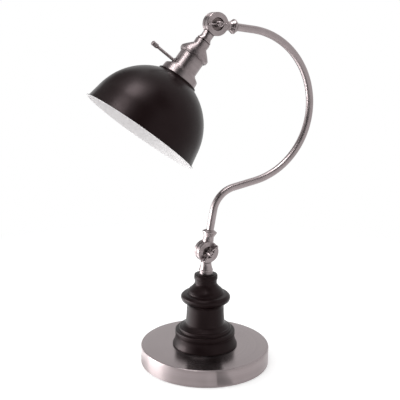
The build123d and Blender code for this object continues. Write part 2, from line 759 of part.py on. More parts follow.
def shade():
    """Spun dome: one round arc, a straight skirt and a small turned-out lip."""
    start = math.radians(SHADE_START_SLOPE)
    end = math.radians(SHADE_END_SLOPE)
    middle = (start + end) / 2
    centre_r = SHADE_NECK_R - SHADE_ARC_R * math.sin(start)
    centre_z = -SHADE_START - SHADE_ARC_R * math.cos(start)

    def on_arc(radius, angle):
        return (centre_r + radius * math.sin(angle), centre_z + radius * math.cos(angle))

    def along_skirt(point, distance):
        return (point[0] + distance * math.cos(end), point[1] - distance * math.sin(end))

    inner_arc_r = SHADE_ARC_R - SHADE_WALL
    outer_end = on_arc(SHADE_ARC_R, end)
    inner_end = on_arc(inner_arc_r, end)
    lip_start = along_skirt(outer_end, SHADE_SKIRT)
    skirt_inner = along_skirt(inner_end, SHADE_SKIRT + 0.6)
    lip_r = lip_start[0] + SHADE_LIP
    lip_low = lip_start[1] - SHADE_WALL
    hole_r = HOLDER_HOLE_R
    inner_start = on_arc(inner_arc_r, start)
    edges = [
        Polyline(
            inner_start,
            (SHADE_NECK_R - 1.3, -SHADE_TOP - SHADE_WALL),
            (hole_r, -SHADE_TOP - SHADE_WALL),
            (hole_r, -SHADE_TOP),
            (SHADE_NECK_R - 0.3, -SHADE_TOP),
            (SHADE_NECK_R, -SHADE_TOP - 0.3),
            (SHADE_NECK_R, -SHADE_START),
        ),
        ThreePointArc((SHADE_NECK_R, -SHADE_START), on_arc(SHADE_ARC_R, middle), outer_end),
        Polyline(
            outer_end,
            lip_start,
            (lip_r - 0.3, lip_start[1]),
            (lip_r, lip_start[1] - 0.3),
            (lip_r, lip_low),
            (skirt_inner[0], lip_low),
            inner_end,
        ),
        ThreePointArc(inner_end, on_arc(inner_arc_r, middle), inner_start),
    ]
    outline = [edge for run in edges for edge in run.edges()]
    return revolve(Plane.XZ * make_face(outline), Axis.Z)


def clamp_ring():
    """Threaded ring on the lampholder that clamps the shade from inside."""
    top = -SHADE_TOP - SHADE_WALL
    bore_r = HOLDER_R + THREAD_GAP
    ring = turned(
        (bore_r, top),
        (CLAMP_RING_R, top, 0.4),
        (CLAMP_RING_R, top - CLAMP_RING * 0.5, 0.4),
        (CLAMP_RING_R - 2.2, top - CLAMP_RING * 0.6, 0.3),
        (CLAMP_RING_R - 2.2, top - CLAMP_RING, 0.6),
        (bore_r, top - CLAMP_RING),
    )
    notch = Pos(CLAMP_RING_R, 0, top - CLAMP_RING * 0.25) * Cylinder(0.9, CLAMP_RING)
    notches = PolarLocations(0, 8) * notch
    return ring - list(notches)


def lampholder_body():
    """Moulded lampholder: a solid switch end and a sleeve round the screw shell."""
    bore_r = THREAD_SHELL_R + THREAD_SHELL_WALL + THREAD_GAP
    body = turned(
        (0, -HOLDER_START),
        (HOLDER_R - 1.6, -HOLDER_START),
        (HOLDER_R, -HOLDER_START - 1.6),
        (HOLDER_R, -HOLDER_END + 0.8),
        (HOLDER_R - 0.8, -HOLDER_END),
        (bore_r, -HOLDER_END),
        (bore_r, -HOLDER_FLOOR),
        (0, -HOLDER_FLOOR),
    )
    key_bore = Pos(0, 0, -KEY_AXIS) * rod_x(KEY_ROD_R + RUNNING, -HOLDER_R - 2, -KEY_INNER + SLIP)
    return body - key_bore - rod_z(WIRE_R, -HOLDER_START - 5, -HOLDER_START + 1)


def thread_shell():
    """Drawn brass screw shell that takes the bulb's cap, its floor corner rounded."""
    outer_r = THREAD_SHELL_R + THREAD_SHELL_WALL
    start = -HOLDER_FLOOR
    return turned(
        (CONTACT_R + 2.0, start),
        (outer_r, start, THREAD_SHELL_CORNER_R + THREAD_SHELL_WALL),
        (outer_r, start - THREAD_SHELL_LENGTH),
        (THREAD_SHELL_R, start - THREAD_SHELL_LENGTH),
        (THREAD_SHELL_R, start - THREAD_SHELL_WALL, THREAD_SHELL_CORNER_R),
        (CONTACT_R + 2.0, start - THREAD_SHELL_WALL),
    )


def centre_contact():
    """Sprung brass disc on the lampholder's floor."""
    start = -HOLDER_FLOOR
    low = start - CONTACT_THICKNESS - CONTACT_LIFT
    return turned(
        (0, start),
        (CONTACT_R, start),
        (CONTACT_R, start - CONTACT_THICKNESS, 0.3),
        (CONTACT_R * 0.5, low, 0.6),
        (0, low),
    )


def key_bushing():
    """Threaded bushing in the socket shell that the switch key turns in."""
    bore_r = KEY_ROD_R + RUNNING
    inner_end = HOLDER_R + FACE_GAP
    outer_end = SHELL_R + BUSHING_STAND
    sleeve = turned(
        (bore_r, inner_end),
        (BUSHING_R - 0.6, inner_end),
        (BUSHING_R - 0.6, SHELL_R + 0.4),
        (BUSHING_R, SHELL_R + 0.4),
        (BUSHING_R, outer_end, 0.5),
        (bore_r, outer_end),
    )
    return Pos(0, 0, -KEY_AXIS) * Rotation(0, -90, 0) * sleeve


def switch_key():
    """Turned spindle with a ribbed knob, square to the head's axis on its -X side."""
    knob_start = KEY_REACH - KEY_KNOB_LENGTH
    spindle = turned(
        (0, KEY_INNER),
        (KEY_ROD_R, KEY_INNER),
        (KEY_ROD_R, knob_start - 0.8),
        (KEY_KNOB_R - 0.5, knob_start, 0.3),
        (KEY_KNOB_R, knob_start + 0.8, 0.3),
        (KEY_KNOB_R, KEY_REACH - 0.9, 0.8),
        (0, KEY_REACH),
    )
    ribs = knob_start + 1.6
    flute = Pos(KEY_KNOB_R + 0.12, 0, (ribs + KEY_REACH) / 2) * Cylinder(
        KEY_FLUTE_R, KEY_REACH - ribs
    )
    knob = spindle - list(PolarLocations(0, KEY_FLUTES) * flute)
    return Pos(0, 0, -KEY_AXIS) * Rotation(0, -90, 0) * knob


def lower_pivot(piece, turn=0.0):
    """Places a piece at the lower pivot, turned about Y."""
    return Pos(0, 0, LOWER_PIVOT_Z) * Rotation(0, turn, 0) * piece


def upper_pivot(piece, turn=0.0):
    """Places a piece at the upper pivot, turned about Y."""
    _, _, last = arm_path()
    return Pos(last[0], 0, last[1]) * Rotation(0, turn, 0) * piece


def in_head(piece):
    """Places a piece of the head, built along -Z from the pivot, at the head's tilt."""
    return upper_pivot(piece, HEAD_TILT)


def build_lamp():
    """Every node of the lamp by its name."""
    return {
        "base_cover": base_cover(),
        "base_weight": base_weight(),
        "base_plate": base_plate(),
        "base_pad": base_pad(),
        "cord_bushing": cord_bushing(),
        "tie_rod": tie_rod(),
        "tie_washer": tie_washer(),
        "tie_nut": tie_nut(),
        "pedestal": pedestal(),
        "foot_knuckle": foot_knuckle(),
        "lower_friction_washer": lower_pivot(friction_washer()),
        "arm_foot_knuckle": lower_pivot(arm_foot_knuckle(), 180 + ARM_LEAN),
        "arm_tube": arm_tube(),
        "arm_top_knuckle": upper_pivot(arm_top_knuckle(), ARM_END_SLOPE - 90),
        "lower_wing_screw": lower_pivot(wing_screw(-LOWER_WING_TURN)),
        "head_knuckle": in_head(head_knuckle()),
        "upper_friction_washer": in_head(friction_washer()),
        "upper_wing_screw": upper_pivot(wing_screw(-UPPER_WING_TURN)),
        "head_nipple": in_head(head_nipple()),
        "socket_cap": in_head(socket_cap()),
        "cap_nut": in_head(cap_nut()),
        "socket_shell": in_head(socket_shell()),
        "shade_fitter": in_head(shade_fitter()),
        "shade": in_head(shade()),
        "clamp_ring": in_head(clamp_ring()),
        "lampholder_body": in_head(lampholder_body()),
        "thread_shell": in_head(thread_shell()),
        "centre_contact": in_head(centre_contact()),
        "key_bushing": in_head(key_bushing()),
        "switch_key": in_head(switch_key()),
    }


def main():
    os.makedirs("parts", exist_ok=True)
    for name, shape in build_lamp().items():
        export_step(shape, f"parts/{name}.step")
        print(name, round(shape.volume))
    _, _, last = arm_path()
    print("lower pivot height", round(LOWER_PIVOT_Z, 3))
    print("upper pivot", [round(value, 3) for value in last])


main()
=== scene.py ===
"""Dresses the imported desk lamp: a turned black pedestal on a brushed round base, a bowed
tube arm between two swivel knuckles, and a tilted dome shade on a nickel socket.

Sizes are in millimetres and become metres when a mesh is made. The lamp's frame is the
CAD frame: +Z is up, the arm bows to +X and the shade hangs to -X.
"""

import logging
import math
from dataclasses import dataclass, field
from enum import Enum

import bmesh
import bpy
from mathutils import Matrix, Vector


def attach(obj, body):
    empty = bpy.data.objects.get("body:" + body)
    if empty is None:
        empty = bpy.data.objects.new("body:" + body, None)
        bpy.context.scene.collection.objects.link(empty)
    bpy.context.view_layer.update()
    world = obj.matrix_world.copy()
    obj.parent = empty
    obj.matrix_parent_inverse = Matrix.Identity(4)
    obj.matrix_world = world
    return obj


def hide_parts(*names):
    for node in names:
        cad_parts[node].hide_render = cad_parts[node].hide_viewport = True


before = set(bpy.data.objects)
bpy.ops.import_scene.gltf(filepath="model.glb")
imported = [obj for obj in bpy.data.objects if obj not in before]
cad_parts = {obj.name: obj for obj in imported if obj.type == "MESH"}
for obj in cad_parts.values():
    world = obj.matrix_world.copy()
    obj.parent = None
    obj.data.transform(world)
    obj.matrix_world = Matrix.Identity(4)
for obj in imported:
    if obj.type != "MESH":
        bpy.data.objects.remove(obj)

log = logging.getLogger("desk_lamp")

Colour = tuple[float, float, float]
Place = tuple[float, float, float]
Mesh = bmesh.types.BMesh
Vert = bmesh.types.BMVert
Edge = bmesh.types.BMEdge
Material = bpy.types.Material
Object = bpy.types.Object
Socket = bpy.types.NodeSocket

MM = 0.001
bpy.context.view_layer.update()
FULL_TURN = 2 * math.pi
QUARTER_TURN = math.radians(90)
SHARP_ANGLE = math.radians(32)
SAME_POINT = 1e-7
SAME_ANGLE = 1e-6
NO_LENGTH = 1e-8
WHITE = (1.0, 1.0, 1.0, 1.0)


class Body(Enum):
    """The lamp's rigid bodies."""

    BASE = "base"
    ARM = "arm"
    HEAD = "head"
    LOWER_SCREW = "lower_screw"
    UPPER_SCREW = "upper_screw"
    KEY = "key"


class Slot(Enum):
    """The record's material slots."""

    BASE_NICKEL = "base_nickel"
    FITTING_NICKEL = "fitting_nickel"
    TUBE_NICKEL = "tube_nickel"
    SOCKET_NICKEL = "socket_nickel"
    PEDESTAL_BLACK = "pedestal_black"
    SHADE_BLACK = "shade_black"


# Sizes that pieces share

ROD_BORE_R = 5.05
BASE_HEIGHT = 24.5
SHADE_TOP = 85.4


@dataclass(frozen=True)
class Pivots:
    """Where the two knuckles turn and how the head and arm stand, in mm and degrees."""

    lower_z: float = 158.8
    arm_lean: float = 9.83
    arm_rise: float = 57.2
    small_bend: float = 36.9
    crossover_slope: float = 11.9
    crossover: float = 33.3
    big_bend: float = 102.6
    end_slope: float = 6.5
    end_run: float = 54.4
    head_tilt: float = 37.3

    @property
    def lower(self) -> Vector:
        """The lower pivot, in mm."""
        return Vector((0.0, 0.0, self.lower_z))

    @property
    def upper(self) -> Vector:
        """The upper pivot, found by walking the arm's centreline.

        Returns:
            Its place, in mm.
        """
        lean = math.radians(self.arm_lean)
        slope = math.radians(self.crossover_slope)
        end = math.radians(self.end_slope)
        spot = Vector((math.sin(lean), 0, math.cos(lean))) * self.arm_rise
        spot += self.small_bend * Vector(
            (math.cos(lean) - math.sin(slope), 0, math.cos(slope) - math.sin(lean))
        )
        spot += Vector((math.cos(slope), 0, math.sin(slope))) * self.crossover
        spot += self.big_bend * Vector(
            (math.sin(end) - math.sin(slope), 0, math.cos(slope) + math.cos(end))
        )
        spot += Vector((-math.cos(end), 0, math.sin(end))) * self.end_run
        return spot + self.lower

    @property
    def head(self) -> Matrix:
        """Carries a piece built down -Z from the origin to its place in the head."""
        tilt = Matrix.Rotation(math.radians(self.head_tilt), 4, "Y")
        return Matrix.Translation(self.upper * MM) @ tilt


PIVOTS = Pivots()


# Mesh workshop


def of_kind(items: list, kind: type) -> list:
    """Picks the points or the edges out of what an operator made."""
    return [item for item in items if isinstance(item, kind)]


def bevel(mesh: Mesh, geom: list, offset: float, segments: int) -> None:
    """Bevels corners or edges into rounds.

    Args:
        mesh: The mesh.
        geom: Its corners, or its edges.
        offset: How far the round reaches, in metres.
        segments: Short runs in each round.
    """
    bmesh.ops.bevel(
        mesh,
        geom=geom,
        offset=offset,
        offset_type="OFFSET",
        affect="EDGES" if isinstance(geom[0], Edge) else "VERTICES",
        segments=segments,
        profile=0.5,
        material=-1,
    )


def round_corners(mesh: Mesh, corners: list[tuple[Vert, float]], segments: int) -> None:
    """Rounds the corners of an outline.

    Args:
        mesh: The outline's mesh.
        corners: Each corner's point and radius, in mm.
        segments: Short runs in each round.
    """
    for vert, radius in corners:
        before, after = [edge.other_vert(vert).co - vert.co for edge in vert.link_edges]
        turn = math.pi - before.angle(after)
        bevel(mesh, [vert], radius * MM * math.tan(turn / 2), segments)


def spin(
    mesh: Mesh, geom: list, centre: Place | Vector, axis: Place, angle: float, steps: int
) -> list:
    """Spins points or edges round an axis, with a wall behind them.

    Args:
        mesh: The mesh.
        geom: What is spun.
        centre: A point on the axis, in metres.
        axis: The way the axis points.
        angle: How far it turns, in radians; a full turn closes on itself.
        steps: How many short lengths the turn has.

    Returns:
        What the last step made.
    """
    made = bmesh.ops.spin(
        mesh,
        geom=geom,
        cent=centre,
        axis=axis,
        dvec=(0.0, 0.0, 0.0),
        angle=angle,
        steps=steps,
        use_merge=angle == FULL_TURN,
        use_duplicate=False,
    )
    return made["geom_last"]


def tidied(mesh: Mesh) -> Mesh:
    """Merges doubled points and turns every face outwards.

    Args:
        mesh: A closed mesh.

    Returns:
        The same mesh.
    """
    bmesh.ops.remove_doubles(mesh, verts=mesh.verts, dist=SAME_POINT)
    bmesh.ops.dissolve_degenerate(mesh, edges=mesh.edges, dist=NO_LENGTH)
    bmesh.ops.recalc_face_normals(mesh, faces=mesh.faces)
    return mesh


def moved(mesh: Mesh, place: Matrix) -> Mesh:
    """Moves a whole mesh to its place."""
    bmesh.ops.transform(mesh, matrix=place, verts=mesh.verts)
    return mesh


def as_object(name: str, mesh: Mesh) -> Object:
    """Puts a mesh into the scene.

    Args:
        name: The object's name.
        mesh: Its mesh, already in place; it is used up.

    Returns:
        The new object.
    """
    data = bpy.data.meshes.new(name)
    mesh.to_mesh(data)
    mesh.free()
    made = bpy.data.objects.new(name, data)
    bpy.context.scene.collection.objects.link(made)
    return made


def piece(name: str, mesh: Mesh, body: Body, slot: Slot, node: str, *materials: Material) -> None:
    """Turns a mesh into a finished piece of the lamp.

    Args:
        name: The piece's name.
        mesh: Its mesh, already in place.
        body: The body it moves with.
        slot: The record's slot; not used.
        node: The CAD node it stands for.
        *materials: Its materials, in the order of its faces' indices.
    """
    made = as_object(name, mesh)
    made.data.shade_smooth()
    made.data.set_sharp_from_angle(angle=SHARP_ANGLE)
    for material in materials:
        made.data.materials.append(material)
    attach(made, body.value)
    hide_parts(node)
    log.info("%s: %d faces on %s", name, len(made.data.polygons), body.value)


def cut(mesh: Mesh, tool: Mesh) -> Mesh:
    """Takes one closed mesh out of another.

    Args:
        mesh: The mesh that is cut; it is used up.
        tool: The mesh that is taken away; it is used up.

    Returns:
        What is left.
    """
    kept, taken = as_object("cut", mesh), as_object("tool", tool)
    modifier = kept.modifiers.new("cut", "BOOLEAN")
    modifier.operation = "DIFFERENCE"
    modifier.solver = "EXACT"
    modifier.object = taken
    bpy.context.view_layer.update()
    result = kept.evaluated_get(bpy.context.evaluated_depsgraph_get()).to_mesh()
    left = bmesh.new()
    left.from_mesh(result)
    for made in (kept, taken):
        data = made.data
        bpy.data.objects.remove(made)
        bpy.data.meshes.remove(data)
    return left


class TurnedProfile:
    """A profile drawn by one moving point and then spun about Z."""

    def __init__(self, radius: float, height: float) -> None:
        """Starts the profile.

        Args:
            radius: Distance from the axis, in mm.
            height: Height along the axis, in mm.
        """
        self.mesh = bmesh.new()
        self.first = self.mesh.verts.new((radius * MM, 0.0, height * MM))
        self.tip = self.first
        self.corners: list[tuple[Vert, float]] = []

    def to(self, radius: float, height: float, rounding: float = 0.0) -> "TurnedProfile":
        """Draws a straight run.

        Args:
            radius: Distance from the axis at its end, in mm.
            height: Height at its end, in mm.
            rounding: Radius of the rounded corner there, in mm.

        Returns:
            The profile itself, so that runs can follow one another.
        """
        made = bmesh.ops.extrude_vert_indiv(self.mesh, verts=[self.tip])
        self.tip = made["verts"][0]
        self.tip.co = (radius * MM, 0.0, height * MM)
        if rounding:
            self.corners.append((self.tip, rounding))
        return self

    def arc(
        self, middle: tuple[float, float], end: tuple[float, float], steps: int
    ) -> "TurnedProfile":
        """Draws a round arc from the tip through a middle point.

        Args:
            middle: A point on the arc, as (radius, height) in mm.
            end: Where the arc ends, as (radius, height) in mm.
            steps: How many short runs it is made of.

        Returns:
            The profile itself.
        """
        a = Vector((self.tip.co.x, self.tip.co.z))
        b = Vector(middle) * MM
        c = Vector(end) * MM
        d = 2 * (a.x * (b.y - c.y) + b.x * (c.y - a.y) + c.x * (a.y - b.y))
        aa, bb, cc = a.length_squared, b.length_squared, c.length_squared
        centre_x = (aa * (b.y - c.y) + bb * (c.y - a.y) + cc * (a.y - b.y)) / d
        centre_y = (aa * (c.x - b.x) + bb * (a.x - c.x) + cc * (b.x - a.x)) / d
        centre = Vector((centre_x, centre_y))
        sweep = abs((a - centre).angle_signed(c - centre))
        if (a - centre).angle(b - centre) > sweep + SAME_ANGLE:
            sweep = FULL_TURN - sweep
        axis = (0.0, -1.0 if (b - a).cross(c - b) > 0 else 1.0, 0.0)
        last = spin(self.mesh, [self.tip], (centre.x, 0.0, centre.y), axis, sweep, steps)
        self.tip = of_kind(last, Vert)[0]
        self.tip.co = (c.x, 0.0, c.y)
        return self

    def close(self) -> "TurnedProfile":
        """Joins the tip back to the start, so that the piece has a full wall."""
        self.mesh.edges.new((self.tip, self.first))
        return self

    def turned(self, steps: int = 128, rounding_steps: int = 5) -> Mesh:
        """Rounds the marked corners and spins the profile full circle.

        Args:
            steps: Faces round the piece.
            rounding_steps: Short runs in each rounded corner.

        Returns:
            The finished mesh, standing on Z.
        """
        round_corners(self.mesh, self.corners, rounding_steps)
        outline = self.mesh.verts[:] + self.mesh.edges[:]
        spin(self.mesh, outline, (0.0, 0.0, 0.0), (0.0, 0.0, 1.0), FULL_TURN, steps)
        return tidied(self.mesh)


# Node helpers


class NodeSheet:
    """Places and joins nodes in one tree, column by column."""

    COLUMN_WIDTH = 200
    ROW_HEIGHT = 240
    COLUMNS = 8
    MIXED_COLOURS = (6, 7)
    MIX_RESULT = 2

    def __init__(self, tree: bpy.types.NodeTree) -> None:
        """Keeps the tree that nodes are placed in."""
        self.tree = tree
        self.placed = 0

    def add(self, kind: str, **settings: object) -> bpy.types.Node:
        """Places a node and sets its properties and unlinked inputs.

        Args:
            kind: The node's type name.
            **settings: Properties by name, or inputs with their spaces as underscores.

        Returns:
            The placed node.
        """
        node = self.tree.nodes.new(kind)
        row, column = divmod(self.placed, self.COLUMNS)
        node.location = (self.COLUMN_WIDTH * column, -self.ROW_HEIGHT * row)
        self.placed += 1
        for name, value in settings.items():
            if hasattr(node, name):
                setattr(node, name, value)
            else:
                node.inputs[name.replace("_", " ")].default_value = value
        return node

    def join(self, source: Socket, target: Socket) -> None:
        """Links an output to an input."""
        self.tree.links.new(source, target)

    def feed(self, targets: list[Socket], values: tuple[object, ...]) -> None:
        """Gives inputs their values in order.

        Args:
            targets: The inputs.
            values: A number, a colour or an output socket for each.
        """
        for target, value in zip(targets, values):
            if isinstance(value, Socket):
                self.join(value, target)
            else:
                target.default_value = (*value, 1.0) if isinstance(value, tuple) else value

    def math(self, operation: str, *values: object) -> Socket:
        """A Math node fed with numbers or sockets.

        Args:
            operation: The Math node's operation.
            *values: Numbers or output sockets, in order.

        Returns:
            Its output socket.
        """
        node = self.add("ShaderNodeMath", operation=operation)
        self.feed(node.inputs[:], values)
        return node.outputs[0]

    def times(self, first: object, second: object) -> Socket:
        """The product of two numbers or sockets."""
        return self.math("MULTIPLY", first, second)

    def split(self, vector: Socket) -> list[Socket]:
        """Separates a vector.

        Args:
            vector: The vector's socket.

        Returns:
            The sockets of its X, Y and Z.
        """
        parts = self.add("ShaderNodeSeparateXYZ")
        self.join(vector, parts.inputs[0])
        return list(parts.outputs)

    def from_axis(self, x: Socket, y: Socket) -> Socket:
        """The distance from the Z axis."""
        return self.math("SQRT", self.math("ADD", self.times(x, x), self.times(y, y)))

    def ramp(
        self, source: Socket, low: float, high: float, start: float = 0.0, end: float = 1.0
    ) -> Socket:
        """A clamped Map Range from one span of values to another.

        Args:
            source: The value's socket.
            low: Where its span begins.
            high: Where its span ends.
            start: What the low end becomes.
            end: What the high end becomes.

        Returns:
            Its output socket.
        """
        node = self.add("ShaderNodeMapRange", From_Min=low, From_Max=high, To_Min=start, To_Max=end)
        self.join(source, node.inputs["Value"])
        return node.outputs["Result"]

    def tint(self, mask: Socket, first: object, second: object) -> Socket:
        """Mixes two colours by a mask.

        Args:
            mask: 0 for the first colour, 1 for the second.
            first: A colour or a socket.
            second: A colour or a socket.

        Returns:
            The mixed colour's socket.
        """
        node = self.add("ShaderNodeMix", data_type="RGBA")
        self.join(mask, node.inputs[0])
        self.feed([node.inputs[index] for index in self.MIXED_COLOURS], (first, second))
        return node.outputs[self.MIX_RESULT]

    def noise(self, feeds: dict[str, Socket], **settings: object) -> Socket:
        """A Noise Texture with some of its inputs joined.

        Args:
            feeds: Sockets for its inputs, by name.
            **settings: Its other inputs and properties.

        Returns:
            Its value's socket.
        """
        node = self.add("ShaderNodeTexNoise", **settings)
        for name, source in feeds.items():
            self.join(source, node.inputs[name])
        return node.outputs["Fac"]


class SharedEffects:
    """The node groups that several finishes use, each built once."""

    STREAK_SPAN = (0.32, 0.68)
    BAND_SPAN = (0.35, 0.65)
    SMUDGE_SPAN = (0.38, 0.66)
    SPECK_SPAN = (0.66, 0.76)
    MOTTLE_SPAN = (0.3, 0.7)
    SPECK_SCALE = 42.0
    MOTTLE_SCALE = 0.05
    # Bounds of the painted shade that the recess group lays in recesses and along joints.
    PIN_CLEARANCE = 0.001
    JOINT_PEAK = 1.2
    JOINT_LIMIT = 0.8

    def __init__(self) -> None:
        """Builds the groups."""
        self.turned_grain = self._turned_grain()
        self.handling = self._handling()
        self.fine_grit = self._fine_grit()
        # Painted shade for wing screw recesses and knuckle joints.
        self.recess = self._painted_recess_shade()

    @staticmethod
    def _group(
        name: str, values: dict[str, float], outputs: tuple[str, ...]
    ) -> tuple[bpy.types.NodeTree, NodeSheet, dict[str, Socket], dict[str, Socket]]:
        """Starts a group with a Vector input and named values.

        Args:
            name: The group's name.
            values: The names of its value inputs, with their defaults.
            outputs: The names of its value outputs.

        Returns:
            The group, its sheet, and the sockets of its inputs and outputs by name.
        """
        group = bpy.data.node_groups.new(name, "ShaderNodeTree")
        group.interface.new_socket("Vector", in_out="INPUT", socket_type="NodeSocketVector")
        for label, default in values.items():
            made = group.interface.new_socket(label, in_out="INPUT", socket_type="NodeSocketFloat")
            made.default_value = default
        for label in outputs:
            group.interface.new_socket(label, in_out="OUTPUT", socket_type="NodeSocketFloat")
        sheet = NodeSheet(group)
        source = dict(sheet.add("NodeGroupInput").outputs.items())
        sink = dict(sheet.add("NodeGroupOutput").inputs.items())
        return group, sheet, source, sink

    def _turned_grain(self) -> bpy.types.NodeTree:
        """Fine rings round an axis, as a lathe or a spinning wheel leaves them.

        Returns:
            The group.
        """
        group, sheet, source, sink = self._group(
            "turned grain", {"Rings": 2600.0, "Drift": 9.0}, ("Height", "Streaks", "Bands")
        )
        x, y, z = sheet.split(source["Vector"])
        radius = sheet.from_axis(x, y)
        rings, drift = source["Rings"], source["Drift"]
        where = sheet.add("ShaderNodeCombineXYZ")
        across = (sheet.times(radius, rings), sheet.times(z, rings), sheet.times(x, drift))
        sheet.feed(where.inputs[:], across)
        feeds = {"Vector": where.outputs[0], "W": sheet.times(y, drift)}
        fine = sheet.noise(feeds, noise_dimensions="4D", Scale=1.0, Detail=3.0, Roughness=0.65)
        wide = sheet.noise(feeds, noise_dimensions="4D", Scale=0.14, Detail=2.0, Roughness=0.5)
        sheet.join(fine, sink["Height"])
        sheet.join(sheet.ramp(fine, *self.STREAK_SPAN), sink["Streaks"])
        sheet.join(sheet.ramp(wide, *self.BAND_SPAN), sink["Bands"])
        return group

    def _handling(self) -> bpy.types.NodeTree:
        """Faint wipe marks and specks of dust that change the gloss a little.

        Returns:
            The group.
        """
        group, sheet, source, sink = self._group("handling", {"Size": 38.0}, ("Smudge", "Dust"))
        vector, size = source["Vector"], source["Size"]
        broad = sheet.noise(
            {"Vector": vector, "Scale": size}, Detail=4.0, Roughness=0.55, Distortion=0.6
        )
        small = sheet.times(size, self.SPECK_SCALE)
        specks = sheet.noise({"Vector": vector, "Scale": small}, Detail=2.0, Roughness=0.7)
        sheet.join(sheet.ramp(broad, *self.SMUDGE_SPAN), sink["Smudge"])
        sheet.join(sheet.ramp(specks, *self.SPECK_SPAN), sink["Dust"])
        return group

    def _fine_grit(self) -> bpy.types.NodeTree:
        """A fine even tooth, as lacquer, castings and moulded skins have.

        Returns:
            The group.
        """
        group, sheet, source, sink = self._group("fine grit", {"Size": 900.0}, ("Height", "Mottle"))
        vector, size = source["Vector"], source["Size"]
        tooth = sheet.noise({"Vector": vector, "Scale": size}, Detail=3.0, Roughness=0.6)
        large = sheet.times(size, self.MOTTLE_SCALE)
        patch = sheet.noise({"Vector": vector, "Scale": large}, Detail=3.0, Roughness=0.5)
        sheet.join(tooth, sink["Height"])
        sheet.join(sheet.ramp(patch, *self.MOTTLE_SPAN), sink["Mottle"])
        return group

    def _painted_recess_shade(self) -> bpy.types.NodeTree:
        """Painted shade at the bottom of a wing screw's recess and along a knuckle's joint, where shade
        falls.

        Returns:
            The group.
        """
        sizes = {"Radius": 0.0080, "Face": 0.0080, "Soft": 0.0022, "Rim": 0.0125, "Joint": 0.0016}
        group, sheet, source, sink = self._group("recess tarnish", sizes, ("Depth",))
        x, y, z = sheet.split(source["Vector"])
        radius = sheet.from_axis(x, y)
        # Painted shade in the recess: darker towards its floor, only within its radius and in front of
        # the pin.
        within = sheet.math("LESS_THAN", radius, source["Radius"])
        depth = sheet.math("DIVIDE", sheet.math("SUBTRACT", source["Face"], z), source["Soft"])
        recess_shade = sheet.math("MINIMUM", sheet.math("MAXIMUM", depth, 0.0), 1.0)
        in_front = sheet.math("GREATER_THAN", z, self.PIN_CLEARANCE)
        recess_shade = sheet.times(sheet.times(recess_shade, within), in_front)
        # Painted shade in a band along the joint between the two halves, on the drum's rim only.
        height = sheet.math("DIVIDE", sheet.math("ABSOLUTE", z), source["Joint"])
        joint = sheet.math("MAXIMUM", sheet.math("SUBTRACT", self.JOINT_PEAK, height), 0.0)
        joint = sheet.times(joint, sheet.math("GREATER_THAN", radius, source["Rim"]))
        joint = sheet.math("MINIMUM", joint, self.JOINT_LIMIT)
        sheet.join(sheet.math("MAXIMUM", recess_shade, joint), sink["Depth"])
        return group


# Finishes


class Axis(Enum):
    """The axis a piece was turned about, for the direction of its grain."""

    BASE = ((0.0, 0.0, 0.0), (0.0, 0.0, 0.0))
    HEAD = (tuple(PIVOTS.upper * MM), (0.0, math.radians(PIVOTS.head_tilt), 0.0))
    LOWER_PIN = (tuple(PIVOTS.lower * MM), (QUARTER_TURN, 0.0, 0.0))
    UPPER_PIN = (tuple(PIVOTS.upper * MM), (QUARTER_TURN, 0.0, 0.0))


class FinishMaker:
    """Starts a material and hands out the coordinates that its pattern reads."""

    def __init__(self, name: str, axis: Axis) -> None:
        """Makes the material with its shader and coordinates.

        Args:
            name: The material's name.
            axis: The axis the pattern is centred on.
        """
        self.material = bpy.data.materials.new(name)
        self.material.use_nodes = True
        tree = self.material.node_tree
        tree.nodes.clear()
        self.sheet = NodeSheet(tree)
        output = self.sheet.add("ShaderNodeOutputMaterial")
        self.shader = self.sheet.add("ShaderNodeBsdfPrincipled")
        self.sheet.join(self.shader.outputs[0], output.inputs["Surface"])
        where = self.sheet.add("ShaderNodeTexCoord")
        place, self.turn = axis.value
        mapping = self.sheet.add(
            "ShaderNodeMapping", vector_type="TEXTURE", Location=place, Rotation=self.turn
        )
        self.sheet.join(where.outputs["Object"], mapping.inputs["Vector"])
        self.spot = mapping.outputs[0]

    def brush_round(self, amount: float) -> None:
        """Lays the brushing in circles round the axis, so that gloss spreads across them.

        Args:
            amount: How far the gloss spreads, from 0 to 1.
        """
        sheet = self.sheet
        x, y, _ = sheet.split(self.spot)
        round_about = sheet.add("ShaderNodeCombineXYZ")
        sheet.feed(round_about.inputs[:], (sheet.times(y, -1.0), x))
        turned = sheet.add("ShaderNodeMapping", vector_type="VECTOR", Rotation=self.turn)
        sheet.join(round_about.outputs[0], turned.inputs["Vector"])
        carried = sheet.add(
            "ShaderNodeVectorTransform", vector_type="VECTOR", convert_from="OBJECT", convert_to="WORLD"
        )
        sheet.join(turned.outputs[0], carried.inputs[0])
        sheet.join(carried.outputs[0], self.shader.inputs["Tangent"])
        self.set(Anisotropic=amount, Anisotropic_Rotation=0.25)

    def effect(self, group: bpy.types.NodeTree, **values: float) -> dict[str, Socket]:
        """Places a shared effect on this material's coordinates.

        Args:
            group: The node group.
            **values: Its inputs by name.

        Returns:
            Its output sockets by name.
        """
        node = self.sheet.add("ShaderNodeGroup", node_tree=group)
        self.sheet.join(self.spot, node.inputs["Vector"])
        for name, value in values.items():
            node.inputs[name].default_value = value
        return dict(node.outputs.items())

    def set(self, **values: object) -> None:
        """Sets the shader's own sockets; underscores stand for spaces."""
        for name, value in values.items():
            self.shader.inputs[name.replace("_", " ")].default_value = value

    def cover(self, colour: Socket, roughness: Socket) -> None:
        """Feeds the shader its colour and its roughness."""
        self.sheet.join(colour, self.shader.inputs["Base Color"])
        self.sheet.join(roughness, self.shader.inputs["Roughness"])

    def bump(self, height: Socket, distance: float, strength: float) -> None:
        """Feeds a height into the shader's normal.

        Args:
            height: The height's socket.
            distance: How high the relief stands, in metres.
            strength: How much of it shows, from 0 to 1.
        """
        node = self.sheet.add("ShaderNodeBump", Distance=distance, Strength=strength)
        self.sheet.join(height, node.inputs["Height"])
        self.sheet.join(node.outputs[0], self.shader.inputs["Normal"])


